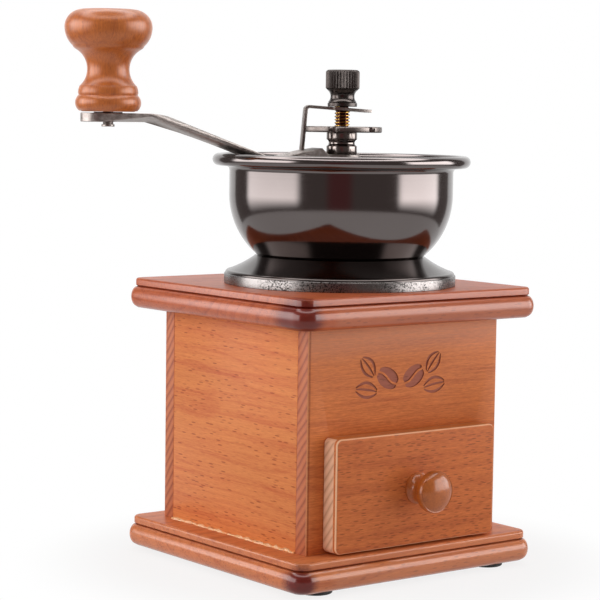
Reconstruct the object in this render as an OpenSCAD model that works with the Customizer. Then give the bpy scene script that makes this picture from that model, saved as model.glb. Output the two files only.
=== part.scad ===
// Hand-cranked burr coffee grinder: wooden case with a drawer, steel hopper and crank.
// The origin lies where the grinding axis meets the surface that the feet stand on.
// +Z is up, the drawer opens towards -Y, and the crank rests to the left, -X.

/* [Case] */
// Width and depth of both moulded plates, over their round edge
plate_w = 121; // [116:1:126]
// Thickness of each moulded plate
plate_t = 12.1; // [11:0.1:14]
// Width and depth of the case between the plates
case_w = 96.4; // [94:0.1:100]
// Height of the case between the plates
case_h = 87.1; // [82:0.1:100]
// Thickness of the case boards
board_t = 6.5; // [5:0.1:7]
// How far the case's middle lies behind the grinding axis
case_back = 6; // [0:0.5:7]
// Diameter of the rubber feet
foot_d = 13.4; // [10:0.1:14]
// Height of the rubber feet
foot_h = 2; // [1:0.1:4]

/* [Drawer] */
// Width of the drawer front
front_w = 80.4; // [76:0.1:84]
// Height of the drawer front
front_h = 44.2; // [42:0.1:50]
// Thickness of the drawer front, which stands proud of the case
front_t = 8; // [6:0.5:10]
// Width of the drawer box
drawer_w = 70; // [60:0.5:71]
// Height of the drawer box
drawer_h = 36; // [28:0.5:38]
// Length of the drawer box behind its front
drawer_l = 82; // [60:1:86]
// Diameter of the drawer knob's head
pull_d = 16.6; // [14:0.1:20]
// How far the drawer knob stands out
pull_l = 14; // [12:0.5:18]

/* [Hopper] */
// Outer radius of the steel ring that the hopper stands on
ring_r = 46.8; // [46:0.1:49]
// Height of that ring
ring_h = 4.1; // [3:0.1:5]
// Height of the hopper's waist above the upper plate
neck_h = 11.2; // [10:0.1:13]
// Outer radius of the bowl's upright wall
bowl_r = 45.15; // [44:0.05:46]
// Radius of the bowl's rounded lower part
bowl_curve = 32; // [31:0.5:33]
// Height of the rim's bead above the upper plate
rim_h = 49.7; // [48:0.1:54]
// Outer radius of the rim
rim_r = 52; // [51:0.1:54]
// Radius of the rim's rolled bead
bead_r = 2.4; // [2:0.1:2.6]
// Thickness of the spun steel sheet
sheet = 1; // [0.8:0.1:1.2]

/* [Burrs] */
// Number of fine teeth round each burr
fine_teeth = 32; // [24:2:40]
// Number of coarse feeding flutes on the cone
cone_flutes = 8; // [6:1:10]
// Number of coarse flutes in the fixed ring
ring_flutes = 12; // [8:1:16]
// Radius over the cone's teeth
cone_r = 18.4; // [18:0.1:18.5]
// Gap between the burrs where they grind
burr_gap = 0.5; // [0.4:0.1:0.8]

/* [Shaft and adjuster] */
// Diameter of the shaft in its bearing
shaft_d = 8; // [8:0.1:8.2]
// Diameter of the threaded top of the shaft
thread_d = 6.35; // [6:0.05:6.5]
// Radius of the notched adjusting wheel
wheel_r = 16.15; // [15.8:0.05:16.4]
// Number of notches in the wheel
wheel_notches = 6; // [4:1:8]
// Diameter of the lock nut's knurled head
nut_d = 13.6; // [13:0.1:16]
// Number of ribs of the knurl
nut_ribs = 36; // [24:1:48]

/* [Crank] */
// Direction in which the crank rests, from +X towards +Y
crank_dir = 160; // [0:1:359]
// Radius from the grinding axis to the knob's pin
crank_r = 96; // [90:0.5:110]
// Rise of the crank from its hub to its knob
crank_rise = 15.3; // [13:0.1:18]
// Thickness of the crank's flat bar
bar_t = 3.5; // [3:0.1:3.6]
// Width of the crank's flat bar
bar_w = 13; // [12:0.5:14]
// Height of the wooden knob
knob_h = 39.4; // [38:0.1:44]
// Largest radius of the wooden knob
knob_r = 17; // [16:0.1:18]

/* [Hidden] */
$fn = 64;

// Clearances
run = 0.05;      // radial play of a running fit, and the gap under a turning face
loose = 0.3;     // gap round a piece that slides or drops in
cut = 1;         // how far a cutter passes through a face

// Heights of the case
base_top = foot_h + plate_t;
case_top = base_top + case_h;
deck = case_top + plate_t;
front_y = case_back - case_w / 2;
back_y = case_back + case_w / 2;

// Moulded edge of the plates, as distances in from the round edge
corner_r = 7;
slab_t = 3.1;
slab_in = 2;
slab_round = 1;
groove_in = 2.8;
bull_bottom_in = 1.8;

// Case joinery
arris = 0.4;
opening_w = 72;
opening_h = 40;
foot_in = [16.5, 11.5];
rail_h = 8;
chute_r = 24;

// Drawer
front_z = base_top + 0.8;
front_back = front_y - 0.2;
drawer_z = base_top + 0.4;
side_t = 4;
floor_t = 3;
floor_up = 1;
front_round = 0.8;
front_corner = 2.5;
pull_z = front_z + front_h / 2;
pull_hole_r = 1.6;
pull_hole_l = pull_l * 0.6;

// Hopper
neck_z = deck + neck_h;
rim_z = deck + rim_h;
curve_x = bowl_r - bowl_curve;
bowl_foot_r = 33.3;
curve_z = neck_z + sqrt(pow(bowl_curve, 2) - pow(bowl_foot_r - curve_x, 2));
throat_r = 23.4;
ring_wall = 2.8;
lip_flare_r = 2;
skirt_edge_in = 0.4;
shoulder_r = 1.3;
waist_r = 34.4;
flare_r = 42;

// Burrs
floor_top = neck_z + sheet;
burr_flange_t = 2.5;
burr_flange_r = 31.5;
burr_body_r = 23;
burr_low = deck - 7.3;
cone_low = burr_low + 4;
band_h = 7;
cone_h = 22;
tooth_depth = 1;
flute_depth = 3;
cone_top_scale = 0.5;
ring_top_r = 21.4;
ring_land_r = cone_r + burr_gap;
band_twist = 8;
flute_twist = 60;
ring_twist = -12;
flange_top = floor_top + burr_flange_t;
screw_r = 28;
screw_hole_r = 2.1;
shank_r = 1.9;
pilot_z = case_top + 0.6;
cone_top = cone_low + cone_h;

// Shaft
shaft_r = shaft_d / 2;
tail_r = 3;
drive_flat = 3.1;
thread_r = thread_d / 2;
shaft_low = burr_low - 4.5;
hub_top = rim_z + 2.5;
hub_low = hub_top - bar_t;
shaft_top = hub_top + 29;
guide_t = 2;
guide_w = 10;
guide_screw_r = 21.4;
guide_screw_hole_r = 1.2;
nut_t = 3;
nut_af = 10;

// Bridge and its bearing
bridge_w = 14;
bridge_t = 2;
bridge_x = 24;
bridge_foot_x = 31.5;
bridge_top = hub_low - 2.8;
bush_r = 6;
bush_flange_r = 7.5;
bush_flange_t = 2.3;
bush_low = bridge_top - 5;
washer_t = 0.4;

// Spring
wire_r = 0.7;
coil_r = 5.9;
coil_turns = 6;
coil_steps = 16;
wire_sides = 8;
cup_t = 0.6;
cup_r = 7.2;
spring_low = cone_top;
spring_high = bush_low - run - cup_t;

// Crank
bar_in = 34.5;
bar_out = 75;
bar_end = 10.8;
dip = -0.15;
hump = 2.5;
hump_r = 10.2;
joggle_r = 7.6;
hub_r = 7.4;
knob_seat = hub_top + crank_rise;
bolt_r = 2;
bolt_head_r = 4.6;
bolt_head_h = 1.8;
peen_r = 2.55;
peen_t = 0.9;
knob_washer_r = 5.6;
knob_z = knob_seat + washer_t + 2 * run;
counterbore_r = 5.2;
counterbore_h = 3;

// Adjuster
spool_r = 6.17;
spool_waist_r = 5.25;
spool_h = 8.8;
land_h = 2.8;
spool_groove_h = 2.8;
wheel_t = 2.3;
wheel_round = 0.5;
notch_w = 3.6;
notch_depth = 2.6;
wheel_z = hub_top + run;
stop_z = hub_top + 17.5;
stop_t = 1.2;
stop_w = 9;
stop_out = 16.1;
stop_in = 11;
stop_tilt = 3.5;
stop_bend_r = 2;
leg_w = 3;
leg_lean = 5;
tongue_w = 2;
leg_top = [stop_out * cos(stop_tilt) - (stop_t - stop_bend_r) * sin(stop_tilt),
    stop_z + stop_out * sin(stop_tilt) + (stop_t - stop_bend_r) * cos(stop_tilt)];
leg_r = leg_top[0] + (leg_top[1] - bar_top(stop_out)) * tan(leg_lean);
nut_foot_r = 5.95;
nut_z = stop_z + stop_t / cos(stop_tilt) + nut_foot_r * tan(stop_tilt) + run;
nut_foot_h = 1.6;
nut_waist_r = 4.83;
nut_head_z = 7.4;
nut_h = 14.7;
nut_bore_h = 10.6;
rib_depth = 0.4;

// Points on an elliptic arc, centre (cx, cy), half-axes a and b, from angle a0 to a1
function arc_pts(cx, cy, a, b, a0, a1, n) =
    [for (i = [0:n]) let (t = a0 + (a1 - a0) * i / n) [cx + a * cos(t), cy + b * sin(t)]];

// Saw-toothed outline: each tooth rises slowly from its root to its tip and falls steeply
function saw_pts(tip, root, teeth) =
    [for (i = [0:teeth - 1], p = [[0, root], [0.72, tip]])
        let (t = 360 * (i + p[0]) / teeth) [p[1] * cos(t), p[1] * sin(t)]];

// Edge of a moulded plate from the top down: slab, groove and round nose
function plate_edge(t) = concat(
    arc_pts(-slab_in - slab_round, t - slab_round, slab_round, slab_round, 90, 0, 4),
    [[-slab_in, t - slab_t + 0.3], [-groove_in, t - slab_t - 0.3]],
    arc_pts(-groove_in, (t - slab_t) / 2, groove_in, (t - slab_t) / 2 - 0.3, 80, -70, 12),
    [[-bull_bottom_in - slab_round, 0]]
);

// Edge of the drawer front from its face back: a round-over and a straight side
function front_edge(t) = concat(
    arc_pts(-front_round, t - front_round, front_round, front_round, 90, 0, 6),
    [[0, 0]]
);

// Panel whose four edges all follow one profile, round the corners too
module routed_panel(w, d, r, edge) {
    last = len(edge) - 1;
    section_w = concat([for (p = edge) [w / 2 + p[0], p[1]]],
        [for (i = [last:-1:0]) [-w / 2 - edge[i][0], edge[i][1]]]);
    section_d = concat([for (p = edge) [d / 2 + p[0], p[1]]],
        [for (i = [last:-1:0]) [-d / 2 - edge[i][0], edge[i][1]]]);
    rotate([90, 0, 0]) linear_extrude(d - 2 * r, center = true) polygon(section_w);
    rotate([90, 0, 90]) linear_extrude(w - 2 * r, center = true) polygon(section_d);
    for (sx = [-1, 1], sy = [-1, 1])
        translate([sx * (w / 2 - r), sy * (d / 2 - r), 0])
            rotate_extrude() polygon(concat([[0, edge[0][1]]],
                [for (p = edge) [r + p[0], p[1]]], [[0, edge[last][1]]]));
}

// Upright board with its two outer corners eased, its outer face towards -Y
module eased_board(w, t, h) {
    linear_extrude(h)
        polygon([[-w / 2, t], [-w / 2, arris], [-w / 2 + arris, 0],
            [w / 2 - arris, 0], [w / 2, arris], [w / 2, t]]);
}

// Pan-head screw standing on its seat at z = 0, shank down
module screw(head_r, head_h, shank_r, shank_l) {
    rotate_extrude()
        polygon(concat([[0, head_h]],
            arc_pts(head_r - head_h, 0, head_h, head_h, 90, 0, 5),
            [[shank_r, 0], [shank_r, -shank_l + shank_r], [0, -shank_l]]));
}

// Round bar with two flats, for the driven lengths of the shaft
module double_d(r, flat, h) {
    intersection() {
        cylinder(r = r, h = h);
        translate([-r, -flat, 0]) cube([2 * r, 2 * flat, h]);
    }
}

module base_plate() {
    color("peru") translate([0, case_back, foot_h])
        routed_panel(plate_w, plate_w, corner_r, plate_edge(plate_t));
}

module top_plate() {
    color("sienna") difference() {
        translate([0, case_back, case_top])
            routed_panel(plate_w, plate_w, corner_r, plate_edge(plate_t));
        translate([0, 0, case_top - cut]) cylinder(r = chute_r, h = plate_t + 2 * cut);
        for (a = [0:90:270])
            rotate([0, 0, a]) translate([screw_r, 0, pilot_z]) cylinder(r = shank_r, h = plate_t);
    }
}

module feet() {
    reach = [plate_w / 2 - foot_in[0], plate_w / 2 - foot_in[1]];
    color("black") for (sx = [-1, 1], sy = [-1, 1])
        translate([sx * reach[0], case_back + sy * reach[1], 0])
            rotate_extrude() polygon(concat([[0, 0]],
                arc_pts(foot_d / 2 - 0.6, 0.6, 0.6, 0.6, -90, 0, 4),
                [[foot_d / 2, foot_h], [0, foot_h]]));
}

module front_board() {
    color("indianred") difference() {
        translate([0, front_y, base_top]) eased_board(case_w, board_t, case_h);
        translate([-opening_w / 2, front_y - cut, base_top - cut])
            cube([opening_w, board_t + 2 * cut, opening_h + cut]);
    }
}

module back_board() {
    color("chocolate") translate([0, back_y, base_top])
        rotate([0, 0, 180]) eased_board(case_w, board_t, case_h);
}

module side_board(side) {
    inner = case_w / 2 - board_t;
    color("chocolate") translate([side > 0 ? inner : -case_w / 2, front_y + board_t, base_top])
        cube([board_t, case_w - 2 * board_t, case_h]);
}

module drawer_rails() {
    inner = case_w / 2 - board_t;
    rail_x = drawer_w / 2 + 2 * loose;
    color("burlywood") for (sx = [0, 1])
        mirror([sx, 0, 0]) translate([rail_x, front_y + board_t, base_top])
            cube([inner - rail_x, case_w - 2 * board_t, rail_h]);
}

module base_ring() {
    ease = 0.3;
    color("silver") translate([0, 0, deck]) rotate_extrude()
        polygon([[ring_r - ring_wall, 0], [ring_r, 0], [ring_r, ring_h - ease],
            [ring_r - ease, ring_h], [ring_r - ring_wall, ring_h]]);
}

// Holes for the four screws that hold the hopper and its burr ring down
module hopper_screw_holes(z, h) {
    for (a = [0:90:270])
        rotate([0, 0, a]) translate([screw_r, 0, z]) cylinder(r = screw_hole_r, h = h);
}

// Flare of the skirt from its waist down to its edge, moved in by d to give the inner face
function flare_pts(d) =
    let (low = [ring_r - skirt_edge_in - shoulder_r - d, deck + ring_h + shoulder_r],
        high = [waist_r - d, neck_z - d],
        mid = (low + high) / 2,
        half = norm(high - low) / 2,
        along = (high - low) / (2 * half),
        out = [along[1], -along[0]],
        centre = mid + out * sqrt(pow(flare_r, 2) - pow(half, 2)),
        a0 = atan2(high[1] - centre[1], high[0] - centre[0]),
        a1 = atan2(low[1] - centre[1], low[0] - centre[0]))
    [for (i = [0:8]) let (t = a0 + (a1 - a0) * i / 8) centre + flare_r * [cos(t), sin(t)]];

module hopper_skirt() {
    edge_r = ring_r - skirt_edge_in;
    seat = deck + ring_h;
    inner = flare_pts(sheet);
    color("black") difference() {
        rotate_extrude() polygon(concat(
            [[throat_r, neck_z]],
            flare_pts(0),
            arc_pts(edge_r - shoulder_r, seat, shoulder_r, shoulder_r, 60, 0, 4),
            [[edge_r - sheet, seat]],
            [for (i = [8:-1:0]) inner[i]],
            [[throat_r, neck_z - sheet]]));
        hopper_screw_holes(neck_z - sheet - cut, 2 * cut + sheet);
    }
}

module hopper_bowl() {
    floor_a = asin((neck_z - curve_z) / bowl_curve);
    inner_a = asin((floor_top - curve_z) / (bowl_curve - sheet));
    bead_x = rim_r - bead_r;
    lip_z = rim_z - bead_r;
    flare_x = bowl_r + lip_flare_r;
    flare_z = lip_z - lip_flare_r;
    join_a = 180 + asin((bead_r - sheet) / bead_r);
    color("dimgray") difference() {
        rotate_extrude() polygon(concat(
            [[throat_r, neck_z]],
            arc_pts(curve_x, curve_z, bowl_curve, bowl_curve, floor_a, 0, 14),
            arc_pts(flare_x, flare_z, lip_flare_r, lip_flare_r, 180, 90, 5),
            arc_pts(bead_x, rim_z, bead_r, bead_r, -90, join_a, 16),
            arc_pts(flare_x, flare_z, lip_flare_r + sheet, lip_flare_r + sheet, 90, 180, 5),
            arc_pts(curve_x, curve_z, bowl_curve - sheet, bowl_curve - sheet, 0, inner_a, 14),
            [[throat_r, floor_top]]));
        hopper_screw_holes(neck_z - cut, 2 * cut + sheet);
    }
}

module outer_burr() {
    body_h = flange_top - burr_low;
    upper_z = cone_low + band_h;
    upper_h = flange_top - upper_z;
    thread_hole_h = 6;
    color("slategray") difference() {
        rotate_extrude() polygon([[0, burr_low], [burr_body_r, burr_low],
            [burr_body_r, floor_top], [burr_flange_r, floor_top],
            [burr_flange_r, flange_top], [0, flange_top]]);
        translate([0, 0, burr_low - cut])
            linear_extrude(upper_z - burr_low + 2 * cut, twist = ring_twist, slices = 4)
                polygon(saw_pts(ring_land_r, ring_land_r + tooth_depth, fine_teeth));
        translate([0, 0, upper_z])
            linear_extrude(upper_h + run, twist = ring_twist, slices = 5,
                    scale = ring_top_r / (ring_land_r + tooth_depth))
                polygon(saw_pts(ring_land_r, ring_land_r + tooth_depth, ring_flutes));
        hopper_screw_holes(floor_top - cut, body_h);
        for (a = [90, 270])
            rotate([0, 0, a]) translate([guide_screw_r, 0, burr_low - cut])
                cylinder(r = guide_screw_hole_r, h = thread_hole_h + cut);
    }
}

module lower_guide() {
    boss_h = 3;
    boss_r = 6;
    color("gray") difference() {
        union() {
            translate([-guide_w / 2, -burr_body_r, burr_low - guide_t])
                cube([guide_w, 2 * burr_body_r, guide_t]);
            translate([0, 0, burr_low - guide_t - boss_h]) cylinder(r = boss_r, h = boss_h + guide_t);
        }
        translate([0, 0, burr_low - guide_t - boss_h - cut])
            cylinder(r = tail_r + run, h = boss_h + guide_t + 2 * cut);
        for (s = [-1, 1])
            translate([0, s * guide_screw_r, burr_low - guide_t - cut])
                cylinder(r = guide_screw_hole_r, h = guide_t + 2 * cut);
    }
}

module guide_screws() {
    head_r = 2.1;
    head_h = 1.1;
    shank_l = 6.5;
    color("silver") for (s = [-1, 1])
        translate([0, s * guide_screw_r, burr_low - guide_t])
            mirror([0, 0, 1]) screw(head_r, head_h, guide_screw_hole_r, shank_l);
}

module bearing_bridge() {
    leg_x = bridge_x - bridge_t;
    foot_top = flange_top + bridge_t;
    color("dimgray") difference() {
        rotate([90, 0, 0]) linear_extrude(bridge_w, center = true) {
            translate([-bridge_x, bridge_top - bridge_t]) square([2 * bridge_x, bridge_t]);
            for (s = [0, 1]) mirror([s, 0]) {
                translate([leg_x, flange_top]) square([bridge_t, bridge_top - flange_top]);
                translate([leg_x, flange_top]) square([bridge_foot_x - leg_x, bridge_t]);
            }
        }
        translate([0, 0, bridge_top - bridge_t - cut])
            cylinder(r = bush_r, h = bridge_t + 2 * cut);
        for (s = [-1, 1])
            translate([s * screw_r, 0, flange_top - cut])
                cylinder(r = screw_hole_r, h = foot_top);
    }
}

module bridge_bush() {
    ease = 0.4;
    top = bridge_top + bush_flange_t;
    color("goldenrod") rotate_extrude()
        polygon([[shaft_r + run, bush_low], [bush_r, bush_low], [bush_r, bridge_top],
            [bush_flange_r, bridge_top], [bush_flange_r, top - ease],
            [bush_flange_r - ease, top], [shaft_r + run, top]]);
}

module hopper_screws() {
    head_r = 3.6;
    head_h = 2.2;
    shank_l = 25;
    color("silver") for (a = [0:90:270])
        rotate([0, 0, a])
            translate([screw_r, 0, flange_top + (a % 180 == 0 ? bridge_t : 0)])
                screw(head_r, head_h, shank_r, shank_l);
}

module shaft() {
    tip = 0.8;
    color("gold") {
        translate([0, 0, shaft_low]) cylinder(r = tail_r, h = cone_low - shaft_low);
        translate([0, 0, cone_low]) double_d(shaft_r, drive_flat, cone_h);
        translate([0, 0, cone_top]) cylinder(r = shaft_r, h = hub_low - cone_top);
        translate([0, 0, hub_low]) rotate([0, 0, crank_dir]) double_d(shaft_r, drive_flat, bar_t);
        translate([0, 0, hub_top]) cylinder(r = thread_r, h = shaft_top - hub_top - tip);
        translate([0, 0, shaft_top - tip]) cylinder(r1 = thread_r, r2 = thread_r - tip, h = tip);
    }
}

module inner_burr() {
    color("slategray") difference() {
        union() {
            translate([0, 0, cone_low])
                linear_extrude(band_h, twist = -band_twist, slices = 3)
                    polygon(saw_pts(cone_r, cone_r - tooth_depth, fine_teeth));
            translate([0, 0, cone_low + band_h])
                linear_extrude(cone_h - band_h, twist = flute_twist, slices = 10,
                        scale = cone_top_scale)
                    polygon(saw_pts(cone_r, cone_r - flute_depth, cone_flutes));
        }
        translate([0, 0, cone_low - cut]) double_d(shaft_r, drive_flat, cone_h + 2 * cut);
    }
}

module burr_nut() {
    color("silver") translate([0, 0, cone_low - nut_t]) difference() {
        cylinder(r = nut_af / 2 / cos(30), h = nut_t, $fn = 6);
        translate([0, 0, -cut]) cylinder(r = tail_r, h = nut_t + 2 * cut);
    }
}

// Rings of the coil, one every step, each ring with its own set of side points
function coil_ring(i, n) =
    let (f = i / n, t = 360 * coil_turns * f,
        z = spring_low + wire_r + (spring_high - spring_low - 2 * wire_r) * f)
    [for (k = [0:wire_sides - 1]) let (s = 360 * k / wire_sides, x = coil_r + wire_r * cos(s))
        [x * cos(t), x * sin(t), z + wire_r * sin(s)]];

module burr_spring() {
    n = coil_turns * coil_steps;
    pts = [for (i = [0:n]) each coil_ring(i, n)];
    sides = [for (i = [0:n - 1], k = [0:wire_sides - 1])
        let (m = (k + 1) % wire_sides)
        [i * wire_sides + k, (i + 1) * wire_sides + k, (i + 1) * wire_sides + m, i * wire_sides + m]];
    first = [for (k = [0:wire_sides - 1]) k];
    last = [for (k = [wire_sides - 1:-1:0]) n * wire_sides + k];
    color("silver") polyhedron(pts, concat([first], sides, [last]));
}

module spring_cup() {
    color("silver") translate([0, 0, spring_high]) difference() {
        cylinder(r = cup_r, h = cup_t);
        translate([0, 0, -cut]) cylinder(r = shaft_r, h = cup_t + 2 * cut);
    }
}

module thrust_washer() {
    color("silver") translate([0, 0, hub_low - washer_t]) difference() {
        cylinder(r = bush_flange_r, h = washer_t);
        translate([0, 0, -cut]) cylinder(r = shaft_r, h = washer_t + 2 * cut);
    }
}

// Top of the crank's bar at a radius between the hub's joggle and the lower bend
function bar_top(r) = hub_top + hump + (dip - hump) * (r - hump_r) / (bar_in - hump_r);

// Side view of the crank's bar: flat hub, joggle up, gentle dip, slope and flat end
module bar_side() {
    slope = atan2(crank_rise - dip, bar_out - bar_in);
    drop = bar_t * tan(slope / 2);
    shift = bar_t * tan(atan2(hump, hump_r - joggle_r) / 2);
    reach = crank_r + bar_end;
    polygon([[-hub_r, hub_low], [joggle_r + shift, hub_low], [hump_r + shift, hub_low + hump],
        [bar_in + drop, hub_low + dip], [bar_out + drop, knob_seat - bar_t],
        [reach, knob_seat - bar_t], [reach, knob_seat], [bar_out, knob_seat],
        [bar_in, hub_top + dip], [hump_r, hub_top + hump], [joggle_r, hub_top],
        [-hub_r, hub_top]]);
}

module crank_arm() {
    color("lightgray") rotate([0, 0, crank_dir]) difference() {
        intersection() {
            rotate([90, 0, 0]) linear_extrude(4 * hub_r, center = true) bar_side();
            translate([0, 0, hub_low - cut]) linear_extrude(crank_rise + bar_t + 2 * cut) {
                circle(r = hub_r);
                translate([0, -bar_w / 2]) square([crank_r + bar_end - bar_w / 2, bar_w]);
                translate([crank_r + bar_end - bar_w / 2, 0]) circle(r = bar_w / 2);
            }
        }
        translate([0, 0, hub_low - cut]) double_d(shaft_r, drive_flat, bar_t + 2 * cut);
        translate([crank_r, 0, knob_seat - bar_t - cut]) cylinder(r = bolt_r, h = bar_t + 2 * cut);
        translate([leg_r - stop_t - loose, -tongue_w / 2 - loose, hub_low - cut])
            cube([stop_t + 2 * loose + (bar_t + cut) * tan(leg_lean),
                tongue_w + 2 * loose, bar_t + hump + 2 * cut]);
    }
}

module at_knob() {
    rotate([0, 0, crank_dir]) translate([crank_r, 0, 0]) children();
}

module knob_bolt() {
    head_z = knob_z + knob_h - counterbore_h + run;
    low = knob_seat - bar_t;
    slot_w = 1.2;
    slot_depth = 0.9;
    color("dimgray") at_knob() difference() {
        rotate_extrude() polygon(concat(
            [[0, low - 2 * peen_t], [peen_r, low - 2 * peen_t], [peen_r, low - peen_t],
                [bolt_r, low - peen_t], [bolt_r, head_z], [bolt_head_r, head_z]],
            arc_pts(bolt_head_r - 1, head_z + bolt_head_h - 1, 1, 1, 0, 90, 4),
            [[0, head_z + bolt_head_h]]));
        translate([-bolt_head_r, -slot_w / 2, head_z + bolt_head_h - slot_depth])
            cube([2 * bolt_head_r, slot_w, slot_depth + cut]);
    }
}

module knob_washer() {
    color("gray") at_knob() translate([0, 0, knob_seat]) difference() {
        cylinder(r = knob_washer_r, h = washer_t);
        translate([0, 0, -cut]) cylinder(r = bolt_r, h = washer_t + 2 * cut);
    }
}

// Turned outline of the knob: bead, small step, waist, step and domed head
function knob_outline() =
    let (k = knob_r / 17, s = knob_h / 39.4)
    [for (p = concat([[0, 0], [10.6, 0]],
        arc_pts(8.8, 3.4, 4, 4, -55, 43, 10),
        [[11.45, 6.35]],
        arc_pts(8.9, 7, 2.8, 4.6, 2, 40, 4),
        arc_pts(17, 16.4, 8.8, 8.8, 228, 118, 12),
        [[13.5, 24.7], [14.1, 25.8]],
        arc_pts(8, 32.6, 9, 9.5, -47, 0, 7),
        arc_pts(9.8, 32.6, 7.2, 6.8, 6, 90, 9),
        [[0, 39.4]])) [p[0] * k, p[1] * s]];

module crank_knob() {
    color("peru") at_knob() translate([0, 0, knob_z]) difference() {
        rotate_extrude() polygon(knob_outline());
        translate([0, 0, -cut]) cylinder(r = bolt_r + run, h = knob_h + 2 * cut);
        translate([0, 0, knob_h - counterbore_h])
            cylinder(r = counterbore_r, h = counterbore_h + cut);
    }
}

module adjusting_wheel() {
    wheel_low = wheel_z + spool_h;
    waist_z = wheel_low - land_h - spool_groove_h / 2;
    color("darkgray") rotate([0, 0, crank_dir]) difference() {
        rotate_extrude() polygon(concat(
            [[thread_r + run, wheel_z], [spool_r - 0.2, wheel_z], [spool_r, wheel_z + 0.2]],
            arc_pts(spool_r + 0.35, waist_z, spool_r + 0.35 - spool_waist_r, spool_groove_h / 2,
                -105, -255, 8),
            [[spool_r, wheel_low], [wheel_r - wheel_round, wheel_low]],
            arc_pts(wheel_r - wheel_round, wheel_low + wheel_round,
                wheel_round, wheel_round, -90, 0, 3),
            arc_pts(wheel_r - wheel_round, wheel_low + wheel_t - wheel_round,
                wheel_round, wheel_round, 0, 90, 3),
            [[thread_r + run, wheel_low + wheel_t]]));
        for (i = [0:wheel_notches - 1])
            rotate([0, 0, 360 * i / wheel_notches])
                translate([wheel_r - notch_depth + notch_w / 2, 0, wheel_low - cut]) {
                    cylinder(r = notch_w / 2, h = wheel_t + 2 * cut);
                    translate([0, -notch_w / 2, 0])
                        cube([notch_w, notch_w, wheel_t + 2 * cut]);
                }
    }
}

module stopper_bracket() {
    tongue_l = bar_t - 0.4;
    leg_l = (leg_top[1] - stop_t * sin(leg_lean) - bar_top(leg_r - stop_t) - run) / cos(leg_lean);
    hole_r = thread_r + loose;
    color("silver") rotate([0, 0, crank_dir]) translate([0, 0, stop_z]) rotate([0, -stop_tilt, 0])
        difference() {
            union() {
                // Plate under the lock nut, narrower towards the leg
                translate([-stop_in, -stop_w / 2, 0]) cube([stop_in + stop_w / 2, stop_w, stop_t]);
                translate([0, -leg_w / 2, 0]) cube([stop_out - stop_bend_r, leg_w, stop_t]);
                // Bend from the plate into the leg
                translate([stop_out - stop_bend_r, 0, stop_t - stop_bend_r]) rotate([90, 0, 0])
                    linear_extrude(leg_w, center = true) intersection() {
                        difference() {
                            circle(r = stop_bend_r);
                            circle(r = stop_bend_r - stop_t);
                        }
                        square(stop_bend_r);
                    }
                // Leg, leaning out a little more, with a narrow tongue that drops into the crank
                translate([stop_out, 0, stop_t - stop_bend_r])
                    rotate([0, stop_tilt - leg_lean, 0]) {
                        translate([-stop_t, -leg_w / 2, -leg_l]) cube([stop_t, leg_w, leg_l + run]);
                        translate([-stop_t, -tongue_w / 2, -leg_l - tongue_l])
                            cube([stop_t, tongue_w, tongue_l + 1]);
                    }
            }
            translate([0, 0, -cut]) cylinder(r = hole_r, h = stop_t + 2 * cut);
        }
}

// Round outline of the nut's head with a groove between each pair of ribs
module knurl_outline() {
    polygon([for (i = [0:nut_ribs - 1], p = [[0, nut_d / 2 + 0.1], [0.5, nut_d / 2 - rib_depth]])
        let (t = 360 * (i + p[0]) / nut_ribs) [p[1] * cos(t), p[1] * sin(t)]]);
}

module lock_nut() {
    top_ease = 0.9;
    under_ease = 0.75;
    head_r = nut_d / 2;
    color("dimgray") translate([0, 0, nut_z]) difference() {
        rotate_extrude() polygon(concat(
            [[0, 0], [nut_foot_r, 0], [nut_foot_r, nut_foot_h - 0.2],
                [nut_foot_r - 0.35, nut_foot_h]],
            arc_pts(nut_waist_r + 2.6, 4.1, 2.6, 2.9, 228, 142, 8),
            [[head_r - under_ease, nut_head_z - under_ease], [head_r, nut_head_z],
                [head_r, nut_h - top_ease], [head_r - top_ease, nut_h], [0, nut_h]]));
        translate([0, 0, nut_head_z - 0.6]) linear_extrude(nut_h) difference() {
            circle(r = nut_d);
            knurl_outline();
        }
        translate([0, 0, -cut]) cylinder(r = thread_r + run, h = nut_bore_h + cut);
    }
}

module drawer_front() {
    color("indianred") difference() {
        translate([0, front_back, front_z + front_h / 2]) rotate([90, 0, 0])
            routed_panel(front_w, front_h, front_corner, front_edge(front_t));
        translate([0, front_back + cut, pull_z]) rotate([90, 0, 0])
            cylinder(r = pull_hole_r, h = front_t + 2 * cut);
    }
}

module drawer_side(side) {
    color("burlywood")
        translate([side > 0 ? drawer_w / 2 - side_t : -drawer_w / 2, front_back, drawer_z])
            cube([side_t, drawer_l, drawer_h]);
}

module drawer_back() {
    lower = 4;
    color("burlywood") translate([-drawer_w / 2 + side_t, front_back + drawer_l - side_t, drawer_z])
        cube([drawer_w - 2 * side_t, side_t, drawer_h - lower]);
}

module drawer_bottom() {
    color("tan") translate([-drawer_w / 2 + side_t, front_back, drawer_z + floor_up])
        cube([drawer_w - 2 * side_t, drawer_l - side_t, floor_t]);
}

// Turned outline of the drawer knob: foot, waist and mushroom head, from the front board out
function pull_outline() =
    let (k = pull_d / 16.6, s = pull_l / 14)
    [for (p = concat([[0, 0], [6.1, 0], [6.1, 0.8]],
        arc_pts(7.4, 4.6, 3.4, 4.2, 235, 140, 8),
        arc_pts(6.3, 10.2, 2, 2.6, -70, 40, 6),
        arc_pts(0, 10.6, 8, 3.4, 20, 90, 7))) [p[0] * k, p[1] * s]];

module drawer_knob() {
    color("goldenrod") translate([0, front_back - front_t, pull_z]) rotate([90, 0, 0])
        difference() {
            rotate_extrude() polygon(pull_outline());
            translate([0, 0, -cut]) cylinder(r = pull_hole_r, h = pull_hole_l + cut);
        }
}

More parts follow.
